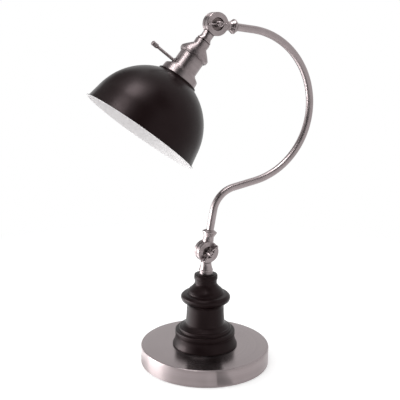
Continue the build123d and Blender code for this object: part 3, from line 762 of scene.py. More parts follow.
@dataclass(frozen=True)
class BrushedNickel:
    """Nickel plate with turned grain, wipe marks and darker streaks."""

    name: str
    axis: Axis
    colour: Colour = (0.350, 0.300, 0.304)
    dark: Colour = (0.290, 0.248, 0.251)
    # Colour of the painted shade in the recess and along the joint.
    painted_shade: Colour = (0.16, 0.13, 0.13)
    face_shade: Colour = (0.10, 0.085, 0.088)
    gloss: tuple[float, float] = (0.31, 0.36)
    rings: float = 2600.0
    drift: float = 9.0
    wipe: float = 34.0
    streaked: float = 0.35
    banded: float = 0.30
    smudged: float = 0.04
    depth: float = 0.00004
    relief: float = 0.015
    anisotropy: float = 0.9
    # Whether painted shade darkens the wing screw's recess and the knuckle's joint.
    recess: bool = False
    face_height: float = 0.0
    face_gloss: float = 0.5
    face_dull: float = 0.26

    def build(self, effects: SharedEffects) -> Material:
        """Makes the material.

        Args:
            effects: The shared node groups.

        Returns:
            The finished material.
        """
        maker = FinishMaker(self.name, self.axis)
        grain = maker.effect(effects.turned_grain, Rings=self.rings, Drift=self.drift)
        marks = maker.effect(effects.handling, Size=self.wipe)
        sheet = maker.sheet
        streaks = sheet.times(grain["Streaks"], self.streaked)
        mask = sheet.math("ADD", streaks, sheet.times(grain["Bands"], self.banded))
        plate = sheet.tint(mask, self.colour, self.dark)
        # Painted shade: the recess floor and the joint band are darkened.
        if self.recess:
            plate = sheet.tint(maker.effect(effects.recess)["Depth"], plate, self.painted_shade)
        gloss = sheet.ramp(grain["Bands"], 0.0, 1.0, *self.gloss)
        gloss = sheet.math("ADD", gloss, sheet.times(marks["Smudge"], self.smudged))
        if self.face_height:
            _, _, z = sheet.split(maker.spot)
            face = sheet.math("GREATER_THAN", z, self.face_height)
            gloss = sheet.times(gloss, sheet.ramp(face, 0.0, 1.0, 1.0, self.face_gloss))
            plate = sheet.tint(sheet.times(face, self.face_dull), plate, self.face_shade)
        maker.cover(plate, gloss)
        maker.bump(grain["Height"], self.depth, self.relief)
        maker.set(Metallic=1.0)
        maker.brush_round(self.anisotropy)
        return maker.material


@dataclass(frozen=True)
class GrainedFinish:
    """A finish with a fine even tooth, a soft mottle, wipe marks and a little dust."""

    name: str
    axis: Axis
    colour: Colour
    second: Colour
    gloss: tuple[float, float]
    metallic: float = 0.0
    grit: float = 900.0
    relief: float = 0.2
    depth: float = 0.00008
    wipe: float = 30.0
    mottled: float = 0.8
    dusty: float = 0.4
    toothed: float = 0.0
    specular: float = 0.5
    sheen: Colour = (1.0, 1.0, 1.0)

    def build(self, effects: SharedEffects) -> Material:
        """Makes the material.

        Args:
            effects: The shared node groups.

        Returns:
            The finished material.
        """
        maker = FinishMaker(self.name, self.axis)
        skin = maker.effect(effects.fine_grit, Size=self.grit)
        marks = maker.effect(effects.handling, Size=self.wipe)
        sheet = maker.sheet
        mask = sheet.times(skin["Mottle"], self.mottled)
        if self.dusty:
            mask = sheet.math("ADD", mask, sheet.times(marks["Dust"], self.dusty))
        gloss = sheet.ramp(marks["Smudge"], 0.0, 1.0, *self.gloss)
        if self.toothed:
            gloss = sheet.math("ADD", gloss, sheet.times(skin["Height"], self.toothed))
        maker.cover(sheet.tint(mask, self.colour, self.second), gloss)
        maker.bump(skin["Height"], self.depth, self.relief)
        maker.set(Metallic=self.metallic, Specular_IOR_Level=self.specular)
        maker.set(Specular_Tint=(*self.sheen, 1.0))
        return maker.material


@dataclass(frozen=True)
class SatinNickel(GrainedFinish):
    """Nickel plate on a drawn tube: a fine even tooth without turned rings."""

    colour: Colour = (0.350, 0.300, 0.304)
    second: Colour = (0.300, 0.257, 0.260)
    gloss: tuple[float, float] = (0.31, 0.37)
    metallic: float = 1.0
    grit: float = 1300.0
    relief: float = 0.1
    depth: float = 0.00002
    wipe: float = 34.0
    mottled: float = 1.0
    dusty: float = 0.0


@dataclass(frozen=True)
class BlackLacquer(GrainedFinish):
    """Sprayed satin black with a fine skin, a soft gloss and a little dust."""

    colour: Colour = (0.0085, 0.0042, 0.0044)
    second: Colour = (0.0120, 0.0070, 0.0072)
    gloss: tuple[float, float] = (0.28, 0.36)
    grit: float = 1500.0
    relief: float = 0.12
    depth: float = 0.00003
    wipe: float = 26.0
    mottled: float = 0.5
    dusty: float = 1.0
    toothed: float = 0.04
    specular: float = 0.12
    sheen: Colour = (1.0, 0.80, 0.83)


@dataclass(frozen=True)
class WhiteEnamel(GrainedFinish):
    """The shade's white inside, slightly warm with a sprayed texture."""

    colour: Colour = (0.86, 0.845, 0.85)
    second: Colour = (0.81, 0.79, 0.795)
    gloss: tuple[float, float] = (0.46, 0.56)
    grit: float = 1100.0
    relief: float = 0.08
    depth: float = 0.00003
    wipe: float = 22.0
    mottled: float = 0.6
    dusty: float = 0.0


class Coat(Enum):
    """Every finish of the lamp, each nickel centred on the axis its piece was turned about."""

    BASE_NICKEL = BrushedNickel(
        "nickel_base", Axis.BASE, gloss=(0.32, 0.36), anisotropy=0.95, face_height=0.0243
    )
    # recess=True lays painted shade in the wing screw's recess and along the knuckle's joint.
    FOOT_NICKEL = BrushedNickel("nickel_foot", Axis.LOWER_PIN, recess=True)
    LOWER_NICKEL = BrushedNickel("nickel_lower_knuckle", Axis.LOWER_PIN, recess=True)
    UPPER_NICKEL = BrushedNickel("nickel_upper_knuckle", Axis.UPPER_PIN, recess=True)
    HEAD_NICKEL = BrushedNickel(
        "nickel_head", Axis.HEAD, rings=2200.0, gloss=(0.41, 0.47), anisotropy=0.96
    )
    NECK_NICKEL = BrushedNickel("nickel_neck", Axis.UPPER_PIN, recess=True)
    TUBE_NICKEL = SatinNickel("nickel_tube", Axis.BASE)
    PEDESTAL_BLACK = BlackLacquer("lacquer_pedestal", Axis.BASE)
    SHADE_BLACK = BlackLacquer("lacquer_shade", Axis.HEAD, gloss=(0.26, 0.32))
    SHADE_WHITE = WhiteEnamel("enamel_inside", Axis.HEAD)
    CAST_IRON = GrainedFinish(
        "cast_iron", Axis.BASE, (0.10, 0.095, 0.09), (0.16, 0.13, 0.11), (0.6, 0.75),
        metallic=0.6, grit=420.0, relief=0.5, depth=0.0004,
    )
    STEEL = GrainedFinish(
        "plated_steel", Axis.BASE, (0.46, 0.46, 0.45), (0.36, 0.355, 0.34), (0.3, 0.45), metallic=1.0
    )
    FELT = GrainedFinish(
        "felt", Axis.BASE, (0.018, 0.018, 0.019), (0.05, 0.05, 0.052), (0.9, 1.0),
        grit=1400.0, relief=0.8, depth=0.0005,
    )
    RUBBER = GrainedFinish(
        "cord_bushing", Axis.BASE, (0.022, 0.021, 0.021), (0.035, 0.034, 0.033), (0.5, 0.62)
    )
    PHENOLIC = GrainedFinish(
        "phenolic", Axis.HEAD, (0.02, 0.015, 0.013), (0.035, 0.026, 0.022), (0.28, 0.4)
    )
    BRASS = GrainedFinish(
        "brass", Axis.HEAD, (0.72, 0.53, 0.24), (0.58, 0.4, 0.17), (0.22, 0.36),
        metallic=1.0, grit=1200.0, relief=0.15,
    )
    FIBRE = GrainedFinish(
        "fibre", Axis.BASE, (0.13, 0.055, 0.035), (0.19, 0.085, 0.055), (0.6, 0.72)
    )


class Finishes:
    """Every material of the lamp, built once."""

    def __init__(self) -> None:
        """Builds the shared effects and the materials."""
        effects = SharedEffects()
        self.made = {coat: coat.value.build(effects) for coat in Coat}

    def __getitem__(self, coat: Coat) -> Material:
        """One coat's material."""
        return self.made[coat]

    def dress(self, coat: Coat, *nodes: str) -> None:
        """Gives CAD nodes a coat and leaves their meshes alone.

        Args:
            coat: The coat.
            *nodes: The nodes' names.
        """
        for node in nodes:
            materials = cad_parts[node].data.materials
            materials.clear()
            materials.append(self.made[coat])


# Sub-assemblies


@dataclass
class Base:
    """The weighted round base: brushed cover, felt pad and the hidden works inside."""

    finishes: Finishes
    radius: float = 89.0
    height: float = BASE_HEIGHT
    bore: float = ROD_BORE_R
    wall: float = 1.2
    edge: float = 1.6
    lift: float = 0.7
    face_rings: tuple[float, float] = (60.0, 40.0)

    def build(self) -> None:
        """Builds the cover and dresses the CAD nodes of the base."""
        nickel = self.finishes[Coat.BASE_NICKEL]
        piece("base_cover_spun", self._cover(), Body.BASE, Slot.BASE_NICKEL, "base_cover", nickel)
        self.finishes.dress(Coat.CAST_IRON, "base_weight")
        self.finishes.dress(Coat.STEEL, "base_plate", "tie_rod", "tie_washer", "tie_nut")
        self.finishes.dress(Coat.FELT, "base_pad")
        self.finishes.dress(Coat.RUBBER, "cord_bushing")

    def _cover(self) -> Mesh:
        """The spun cover with its rolled top edge.

        Returns:
            Its mesh.
        """
        inner = self.radius - self.wall
        under = self.height - self.wall
        profile = TurnedProfile(self.bore, under)
        profile.to(inner, under, self.edge * 0.4).to(inner, self.lift, 0.3)
        profile.to(self.radius, self.lift, 0.4).to(self.radius, self.height, self.edge)
        for radius in (*self.face_rings, self.bore):
            profile.to(radius, self.height)
        return profile.close().turned(steps=256, rounding_steps=8)


@dataclass
class Pedestal:
    """The turned black pedestal, from the base up to the seat of the lower knuckle."""

    finishes: Finishes
    start: float = BASE_HEIGHT
    bore: float = ROD_BORE_R
    foot_r: float = 44.9
    foot_lip: float = 1.7
    foot_height: float = 15.5
    foot_flare: float = 1.1
    foot_middle: float = 0.51
    waist_r: float = 41.0
    ring_r: float = 41.5
    ring_height: float = 6.8
    ledge_r: float = 35.8
    ledge_height: float = 4.6
    cove_height: float = 5.0
    column_foot_r: float = 27.0
    column_top_r: float = 25.5
    column_height: float = 25.6
    column_waist: float = 0.3
    bulge_r: float = 34.0
    bulge_height: float = 17.5
    shoulder_r: float = 24.9
    shoulder_height: float = 14.1
    flare_hollow: float = 0.85
    flare_middle: float = 0.6
    flare_foot: float = 0.85
    throat_r: float = 15.2
    throat_height: float = 5.4
    collar_r: float = 16.2
    collar_height: float = 7.5
    groove: float = 0.6
    seat_r: float = 12.6
    seat_height: float = 0.9

    def build(self) -> None:
        """Draws the outline from the base up and back down the bore, and turns it."""
        profile = TurnedProfile(self.bore, self.start)
        column_foot = self._draw_foot(profile)
        throat_foot = self._draw_column(profile, column_foot)
        self._draw_collar(profile, throat_foot)
        mesh = profile.close().turned(steps=160)
        black = self.finishes[Coat.PEDESTAL_BLACK]
        piece("pedestal_turned", mesh, Body.BASE, Slot.PEDESTAL_BLACK, "pedestal", black)

    def _draw_foot(self, profile: TurnedProfile) -> float:
        """Draws the flared foot, the ring and the ledge.

        Args:
            profile: The profile so far.

        Returns:
            The height where the column starts.
        """
        z = self.start
        top = z + self.foot_height
        profile.to(self.foot_r, z, 1.0).to(self.foot_r - 0.1, z + self.foot_lip)
        flared = (self.waist_r + self.foot_flare, z + self.foot_height * self.foot_middle)
        profile.arc(flared, (self.waist_r, top - 1.0), steps=12)
        profile.to(self.waist_r, top, 0.2).to(self.ring_r, top + 0.6, 0.25)
        z = top + self.ring_height
        profile.to(self.ring_r, z, 1.8).to(self.ledge_r + 0.4, z, 0.4)
        z = z + self.ledge_height
        profile.to(self.ledge_r, z - 0.1, 2.2).to(self.ledge_r - 2.8, z)
        z = z + self.cove_height
        profile.to(self.column_foot_r + 1.4, z - 1.8, 2.0).to(self.column_foot_r, z)
        return z

    def _draw_column(self, profile: TurnedProfile, z: float) -> float:
        """Draws the waisted column, the bulge and the shoulder's flare.

        Args:
            profile: The profile so far.
            z: The height where the column starts.

        Returns:
            The height where the flare meets the throat.
        """
        column_top = z + self.column_height
        waist = (self.column_foot_r + self.column_top_r) / 2 - self.column_waist
        profile.arc((waist, z + self.column_height / 2), (self.column_top_r, column_top), steps=10)
        for radius, share, rounding in (
            (self.column_top_r + 0.9, 0.14, 0.5),
            (self.bulge_r - 1.0, 0.43, 2.5),
            (self.bulge_r, 0.60, 1.5),
            (self.bulge_r, 0.76, 2.4),
        ):
            profile.to(radius, column_top + self.bulge_height * share, rounding)
        z = column_top + self.bulge_height
        profile.to(self.bulge_r - 3.0, z - 1.2, 1.5).to(self.shoulder_r + 1.3, z - 0.5, 0.3)
        for inset, share, rounding in (
            (-0.1, 0.0, 0.15),
            (0.0, 0.14, 0.8),
            (1.65, 0.32, 3.0),
            (2.2, 0.37, 0.0),
        ):
            profile.to(self.shoulder_r - inset, z + self.shoulder_height * share, rounding)
        hollow = (self.shoulder_r + self.throat_r) / 2 - self.flare_hollow
        foot = (self.throat_r + 1.0, z + self.shoulder_height * self.flare_foot)
        profile.arc((hollow, z + self.shoulder_height * self.flare_middle), foot, steps=8)
        return z + self.shoulder_height

    def _draw_collar(self, profile: TurnedProfile, z: float) -> None:
        """Draws the throat, the grooved collar and the seat.

        Args:
            profile: The profile so far.
            z: The height of the throat's foot.
        """
        profile.to(self.throat_r, z, 2.0)
        z = z + self.throat_height
        bead, inner = self.collar_r - 0.2, self.collar_r - self.groove
        groove = z + self.collar_height * 0.68
        profile.to(self.throat_r, z, 0.2).to(bead, z + 0.4, 0.4)
        profile.to(self.collar_r, z + self.collar_height * 0.32, 0.4)
        profile.to(self.collar_r - 0.1, groove, 0.4)
        profile.to(inner, groove + 0.4, 0.1).to(inner, groove + 0.8, 0.1)
        z = z + self.collar_height
        profile.to(bead, groove + 1.2, 0.4).to(bead - 0.5, z - 0.2, 1.2).to(self.seat_r, z, 0.1)
        profile.to(self.seat_r, z + self.seat_height, 0.2).to(self.bore, z + self.seat_height)


@dataclass
class Arm:
    """The bowed tube, swept along straight runs and true bends."""

    finishes: Finishes
    radius: float = 5.0
    wall: float = 0.9
    socket: float = 21.7
    around: int = 32
    small_steps: int = 16
    big_steps: int = 72

    def build(self) -> None:
        """Builds the tube."""
        nickel = self.finishes[Coat.TUBE_NICKEL]
        piece("arm_tube_bent", self._tube(), Body.ARM, Slot.TUBE_NICKEL, "arm_tube", nickel)

    def _tube(self) -> Mesh:
        """Extrudes a ring along the runs and spins it round the bends.

        Returns:
            The tube's mesh.
        """
        mesh = bmesh.new()
        lean = math.radians(PIVOTS.arm_lean)
        slope = math.radians(PIVOTS.crossover_slope)
        end = math.radians(PIVOTS.end_slope)
        heading = Vector((math.sin(lean), 0.0, math.cos(lean)))
        start = PIVOTS.lower + heading * self.socket
        place = Matrix.Translation(start * MM) @ Matrix.Rotation(lean, 4, "Y")
        for radius in (self.radius, self.radius - self.wall):
            made = bmesh.ops.create_circle(mesh, segments=self.around, radius=radius * MM)
            bmesh.ops.transform(mesh, matrix=place, verts=made["verts"])
        bmesh.ops.bridge_loops(mesh, edges=mesh.edges[:])
        ring = [edge for edge in mesh.edges if len(edge.link_faces) == 1]
        rise = heading * (PIVOTS.arm_rise - self.socket)
        ring = self._run(mesh, ring, rise)
        centre = start + rise + Vector((math.cos(lean), 0, -math.sin(lean))) * PIVOTS.small_bend
        turn = math.pi / 2 - lean - slope
        ring = self._bend(mesh, ring, centre, turn, self.small_steps)
        heading = Vector((math.cos(slope), 0, math.sin(slope)))
        outwards = Vector((-math.sin(slope), 0, math.cos(slope)))
        ring = self._run(mesh, ring, heading * PIVOTS.crossover)
        centre += outwards * (PIVOTS.small_bend + PIVOTS.big_bend) + heading * PIVOTS.crossover
        turn = end + slope - math.pi
        ring = self._bend(mesh, ring, centre, turn, self.big_steps)
        heading = Vector((-math.cos(end), 0, math.sin(end)))
        ring = self._run(mesh, ring, heading * (PIVOTS.end_run - self.socket))
        bmesh.ops.bridge_loops(mesh, edges=ring)
        return tidied(mesh)

    @staticmethod
    def _run(mesh: Mesh, ring: list[Edge], way: Vector, steps: int = 2) -> list[Edge]:
        """Extrudes the open rings straight ahead.

        Args:
            mesh: The tube so far.
            ring: Its open edges.
            way: The whole run, in mm.
            steps: How many lengths it is cut into.

        Returns:
            The new open edges.
        """
        for _ in range(steps):
            made = bmesh.ops.extrude_edge_only(mesh, edges=ring)["geom"]
            verts = of_kind(made, Vert)
            ring = [edge for edge in of_kind(made, Edge) if all(vert in verts for vert in edge.verts)]
            bmesh.ops.translate(mesh, vec=way * MM / steps, verts=verts)
        return ring

    @staticmethod
    def _bend(mesh: Mesh, ring: list[Edge], centre: Vector, turn: float, steps: int) -> list[Edge]:
        """Spins the open rings round a bend's centre.

        Args:
            mesh: The tube so far.
            ring: Its open edges.
            centre: The bend's centre, in mm.
            turn: The angle about +Y, in radians.
            steps: How many short lengths it is made of.

        Returns:
            The new open edges.
        """
        return of_kind(spin(mesh, ring, centre * MM, (0.0, 1.0, 0.0), turn, steps), Edge)


@dataclass
class WingScrew:
    """A wing screw: a turned hub with a hollow end and two rounded ears."""

    finish: Material
    body: Body
    node: str
    pivot: Vector
    turn: float
    shank_r: float = 2.5
    hub_r: float = 4.0
    hub_end: float = 18.0
    dimple_r: float = 1.9
    dimple: float = 1.6
    front_face: float = 8.0
    back_face: float = 7.8
    recess: float = 3.2
    gap: float = 0.2
    span: float = 30.0
    thickness: float = 2.0
    lift: float = 0.8
    top: float = 17.2
    ear_inset: float = 3.2
    ear_rise: float = 4.0
    ear_lean: float = 0.8
    ear_width: float = 5.2
    ear_edge: float = 0.7
    saddle: float = 3.4

    def build(self) -> None:
        """Builds the screw as one piece."""
        mesh = self._hub()
        wings = self._wings()
        data = bpy.data.meshes.new("ears")
        wings.to_mesh(data)
        wings.free()
        mesh.from_mesh(data)
        bpy.data.meshes.remove(data)
        turned = Matrix.Rotation(self.turn, 4, "Y") @ Matrix.Rotation(QUARTER_TURN, 4, "X")
        moved(mesh, Matrix.Translation(self.pivot * MM) @ turned)
        piece(self.node + "_cast", mesh, self.body, Slot.FITTING_NICKEL, self.node, self.finish)

    def _hub(self) -> Mesh:
        """The shank and hub, standing on Z with the hollow end on top.

        Returns:
            Their mesh.
        """
        tip = self.gap - self.back_face
        foot = self.front_face - self.recess + self.gap
        floor = self.hub_end - self.dimple
        profile = TurnedProfile(0.0, tip)
        profile.to(self.shank_r - 0.5, tip).to(self.shank_r, tip + 0.5).to(self.shank_r, foot)
        profile.to(self.hub_r, foot, 0.4).to(self.hub_r - 0.5, self.hub_end, 0.8)
        profile.to(self.dimple_r, self.hub_end, 0.3).to(self.dimple_r - 0.3, floor, 0.2).to(0.0, floor)
        return profile.turned(steps=48, rounding_steps=4)

    def _wings(self) -> Mesh:
        """Two ears with rounded corners, joined across the hub.

        Returns:
            Their mesh.
        """
        half = self.span / 2
        foot = self.front_face + self.lift
        right = (
            (half - self.ear_inset, foot, 1.5),
            (half, foot + self.ear_rise, 2.4),
            (half - self.ear_lean, self.top, 1.6),
            (half - self.ear_width, self.top, 1.6),
            (self.hub_r, self.top - self.saddle, 0.5),
        )
        corners = (*right, *((-x, z, radius) for x, z, radius in reversed(right)))
        mesh = bmesh.new()
        side = -self.thickness / 2 * MM
        verts = [mesh.verts.new((x * MM, side, z * MM)) for x, z, _ in corners]
        for first, second in zip(verts, verts[1:] + verts[:1]):
            mesh.edges.new((first, second))
        round_corners(mesh, [(vert, radius) for vert, (_, _, radius) in zip(verts, corners)], 5)
        bmesh.ops.contextual_create(mesh, geom=mesh.edges[:])
        made = bmesh.ops.extrude_face_region(mesh, geom=mesh.faces[:])["geom"]
        bmesh.ops.translate(mesh, vec=(0.0, self.thickness * MM, 0.0), verts=of_kind(made, Vert))
        bmesh.ops.recalc_face_normals(mesh, faces=mesh.faces)
        rims = [edge for edge in mesh.edges if abs(edge.verts[0].co.y - edge.verts[1].co.y) < SAME_POINT]
        bevel(mesh, rims, self.ear_edge * MM, segments=3)
        return tidied(mesh)


@dataclass
class Knuckles:
    """The two swivel knuckles: CAD halves and washers, with cast wing screws."""

    finishes: Finishes
    lower_turn: float = math.radians(-45)

    def build(self) -> None:
        """Dresses the halves and builds the wing screws."""
        dress = self.finishes.dress
        dress(Coat.FOOT_NICKEL, "foot_knuckle")
        dress(Coat.LOWER_NICKEL, "arm_foot_knuckle")
        dress(Coat.UPPER_NICKEL, "arm_top_knuckle")
        dress(Coat.NECK_NICKEL, "head_knuckle")
        dress(Coat.FIBRE, "lower_friction_washer", "upper_friction_washer")
        for coat, body, node, pivot, turn in (
            (Coat.LOWER_NICKEL, Body.LOWER_SCREW, "lower_wing_screw", PIVOTS.lower, self.lower_turn),
            (Coat.UPPER_NICKEL, Body.UPPER_SCREW, "upper_wing_screw", PIVOTS.upper, 0.0),
        ):
            WingScrew(self.finishes[coat], body, node, pivot, turn).build()


@dataclass
class SocketGroup:
    """The nickel cap, shell and fitter over the lampholder, and the switch key.

    Lengths are measured down the head's axis from the upper pivot.
    """

    finishes: Finishes
    bore: float = ROD_BORE_R
    cap_start: float = 27.9
    cap_neck_r: float = 10.2
    cap_neck_end: float = 35.0
    cap_r: float = 20.1
    cap_lip: float = 48.2
    cap_end: float = 52.0
    cap_wall: float = 1.1
    cap_roof: float = 4.6
    cap_taper: float = 1.9
    bell_inset: float = 3.6
    bell_rise: float = 6.0
    bell_round: float = 6.0
    lip_half: float = 1.6
    lip_roof: float = 4.4
    shell_r: float = 17.0
    shell_wall: float = 0.7
    shell_start: float = 47.6
    shell_end: float = 74.6
    seat_gap: float = 0.06
    fitter_start: float = 71.4
    fitter_r: float = 25.0
    fitter_shoulder: float = 76.6
    fitter_end: float = 84.6
    fitter_wall: float = 0.9
    shade_top: float = SHADE_TOP
    key_axis: float = 70.4
    key_rod_r: float = 1.95
    key_inner: float = 9.0
    key_reach: float = 54.8
    knob_r: float = 3.05
    knob_length: float = 9.5
    flutes: int = 12
    flute_from_r: float = 2.2
    flute_start: float = 1.3
    flute_depth: float = 0.12
    notch_r: float = 3.6
    notch_inwards: float = 4.0
    notch_outwards: float = 2.0

    def build(self) -> None:
        """Builds the turned pieces of the head and dresses its CAD nodes."""
        nickel = self.finishes[Coat.HEAD_NICKEL]
        head = PIVOTS.head
        for name, mesh, place, body, node in (
            ("socket_cap_spun", self._cap(), head, Body.HEAD, "socket_cap"),
            ("socket_shell_drawn", self._shell(), head, Body.HEAD, "socket_shell"),
            ("shade_fitter_spun", self._fitter(), head, Body.HEAD, "shade_fitter"),
            ("switch_key_turned", self._key(), head @ self._key_place(), Body.KEY, "switch_key"),
        ):
            piece(name, moved(mesh, place), body, Slot.SOCKET_NICKEL, node, nickel)
        self.finishes.dress(Coat.HEAD_NICKEL, "key_bushing")
        self.finishes.dress(Coat.STEEL, "head_nipple", "cap_nut")
        self.finishes.dress(Coat.PHENOLIC, "lampholder_body", "clamp_ring")
        self.finishes.dress(Coat.BRASS, "centre_contact", "thread_shell")

    def _key_place(self) -> Matrix:
        """Lays a piece built up Z along the key's axis."""
        along = Matrix.Rotation(-QUARTER_TURN, 4, "Y")
        return Matrix.Translation((0.0, 0.0, -self.key_axis * MM)) @ along

    def _cap(self) -> Mesh:
        """The bell-shaped cap with its stepped neck.

        Returns:
            Its mesh.
        """
        neck, start, lip, end = self.cap_neck_r, self.cap_start, self.cap_lip, self.cap_end
        seat = self.shell_r + self.seat_gap
        inside = self.cap_neck_end + self.cap_roof
        profile = TurnedProfile(self.bore, -start)
        profile.to(neck - 0.5, -start).to(neck, -start - 0.6, 0.3).to(neck, -start - 1.6, 0.3)
        profile.to(neck - 0.4, -self.cap_neck_end, 1.2)
        profile.to(self.cap_r - self.bell_inset, -lip + self.bell_rise, self.bell_round)
        profile.to(self.cap_r, -lip + self.lip_half, 1.8).to(self.cap_r - 0.2, -lip - self.lip_half, 0.9)
        profile.to(self.cap_r - self.cap_taper, -end, 0.5).to(seat, -end).to(seat, -self.shell_start)
        profile.to(seat - self.cap_wall, -self.shell_start)
        profile.to(seat - self.cap_wall, -lip + self.lip_roof, 1.0)
        profile.to(neck + 1.0, -inside).to(self.bore, -inside)
        return profile.close().turned()

    def _shell(self) -> Mesh:
        """The drawn sleeve between cap and fitter.

        Returns:
            Its mesh.
        """
        outer = self.shell_r
        inner = outer - self.shell_wall
        middle = (self.shell_start + self.shell_end) / 2
        profile = TurnedProfile(inner, -self.shell_start)
        profile.to(outer, -self.shell_start).to(outer, -middle).to(outer, -self.shell_end)
        profile.to(inner, -self.shell_end).to(inner, -middle)
        return profile.close().turned()

    def _fitter(self) -> Mesh:
        """The flared skirt that the shade is clamped under, notched round the key.

        Returns:
            Its mesh.
        """
        bore = self.shell_r + self.seat_gap
        top = bore + self.fitter_wall
        start, shoulder, wide = self.fitter_start, self.fitter_shoulder, self.fitter_r
        under = shoulder + self.fitter_wall
        profile = TurnedProfile(bore, -start)
        profile.to(top, -start, 0.4).to(top + 0.2, -start - 1.0, 1.2).to(wide - 0.8, -shoulder, 2.0)
        profile.to(wide, -self.fitter_end + 0.8, 0.6).to(wide + 0.3, -self.fitter_end, 0.2)
        profile.to(wide + 0.3, -self.shade_top).to(wide - self.fitter_wall, -self.shade_top)
        profile.to(wide - self.fitter_wall - 0.8, -under, 1.8)
        profile.to(top - 0.3, -self.shell_end - 0.3).to(bore, -self.shell_end - 0.3)
        near, far = self.shell_r - self.notch_inwards, wide + self.notch_outwards
        notch = TurnedProfile(0.0, near).to(self.notch_r, near).to(self.notch_r, far).to(0.0, far)
        return cut(profile.close().turned(), moved(notch.turned(steps=48), self._key_place()))

    def _key(self) -> Mesh:
        """The spindle and its ribbed knob, standing on Z.

        Returns:
            Their mesh.
        """
        rod, knob, reach = self.key_rod_r, self.knob_r, self.key_reach
        start = reach - self.knob_length
        profile = TurnedProfile(0.0, self.key_inner)
        profile.to(rod, self.key_inner, 0.3).to(rod, (self.key_inner + start) / 2)
        profile.to(rod, start - 0.8, 0.3).to(knob - 0.5, start, 0.3).to(knob, start + 0.8, 0.3)
        profile.to(knob, start + 1.9).to(knob, reach - 0.9, 0.8).to(0.0, reach)
        mesh = profile.turned(steps=4 * self.flutes, rounding_steps=4)
        step = FULL_TURN / (4 * self.flutes)
        for vert in mesh.verts:
            outside = math.hypot(vert.co.x, vert.co.y) > self.flute_from_r * MM
            column = round(math.atan2(vert.co.y, vert.co.x) / step)
            if outside and vert.co.z > (start + self.flute_start) * MM and column % 4 == 0:
                vert.co.x *= 1 - self.flute_depth
                vert.co.y *= 1 - self.flute_depth
        return mesh


@dataclass
class Shade:
    """The spun dome shade, black outside and white inside."""

    finishes: Finishes
    wall: float = 0.9
    neck_r: float = 27.4
    top: float = SHADE_TOP
    start: float = 87.7
    arc_r: float = 81.0
    start_slope: float = 23.3
    end_slope: float = 80.0
    arc_steps: int = 40
    skirt: float = 21.0
    skirt_slack: float = 0.6
    neck_inset: float = 1.3
    lip: float = 2.1
    hole: float = 15.3
    inward: float = -0.05
    downward: float = -0.9

    def build(self) -> None:
        """Builds the shade with a black outside and a white inside."""
        mesh = self._dome()
        for face in mesh.faces:
            face.material_index = int(self._is_inside(face))
        coats = self.finishes[Coat.SHADE_BLACK], self.finishes[Coat.SHADE_WHITE]
        piece("shade_spun", moved(mesh, PIVOTS.head), Body.HEAD, Slot.SHADE_BLACK, "shade", *coats)

    def _arc_point(self, radius: float, slope: float) -> tuple[float, float]:
        """A point of the dome's round arc.

        Args:
            radius: The arc's radius, in mm.
            slope: The dome's slope there, in degrees.

        Returns:
            Its radius and height, in mm.
        """
        begin = math.radians(self.start_slope)
        centre_r = self.neck_r - self.arc_r * math.sin(begin)
        centre_z = -self.start - self.arc_r * math.cos(begin)
        angle = math.radians(slope)
        return centre_r + radius * math.sin(angle), centre_z + radius * math.cos(angle)

    def _dome(self) -> Mesh:
        """Draws the wall, outside down and inside back up, and spins it.

        Returns:
            The dome's mesh, standing on Z.
        """
        end = math.radians(self.end_slope)
        middle = (self.start_slope + self.end_slope) / 2
        inner = self.arc_r - self.wall
        end_r, end_z = self._arc_point(self.arc_r, self.end_slope)
        inner_end = self._arc_point(inner, self.end_slope)
        foot_r, foot_z = end_r + self.skirt * math.cos(end), end_z - self.skirt * math.sin(end)
        low = foot_z - self.wall
        inner_foot = inner_end[0] + (self.skirt + self.skirt_slack) * math.cos(end)
        under = -self.top - self.wall
        profile = TurnedProfile(self.hole, -self.top)
        profile.to(self.neck_r, -self.top, 0.35).to(self.neck_r, -self.start)
        profile.arc(self._arc_point(self.arc_r, middle), (end_r, end_z), self.arc_steps)
        profile.to(foot_r, foot_z, 0.4).to(foot_r + self.lip, foot_z, 0.3)
        profile.to(foot_r + self.lip, low, 0.3).to(inner_foot, low, 0.3).to(*inner_end)
        inner_start = self._arc_point(inner, self.start_slope)
        profile.arc(self._arc_point(inner, middle), inner_start, self.arc_steps)
        profile.to(self.neck_r - self.neck_inset, under, 0.3).to(self.hole, under)
        return profile.close().turned(steps=192)

    def _is_inside(self, face: bmesh.types.BMFace) -> bool:
        """Whether a face belongs to the white inside.

        Args:
            face: A face of the dome, before it is moved into the head.

        Returns:
            True where it faces the axis, or down from the flat top or the lip.
        """
        spot = face.calc_center_median()
        radius = math.hypot(spot.x, spot.y)
        outwards = (face.normal.x * spot.x + face.normal.y * spot.y) / radius
        return outwards < self.inward or face.normal.z < self.downward


# Studio


@dataclass(frozen=True)
class Card:
    """A studio card that only reflections see: a dark flag or a bright reflector."""

    name: str
    spot: Place
    aim: Place
    width: float
    height: float
    brightness: float


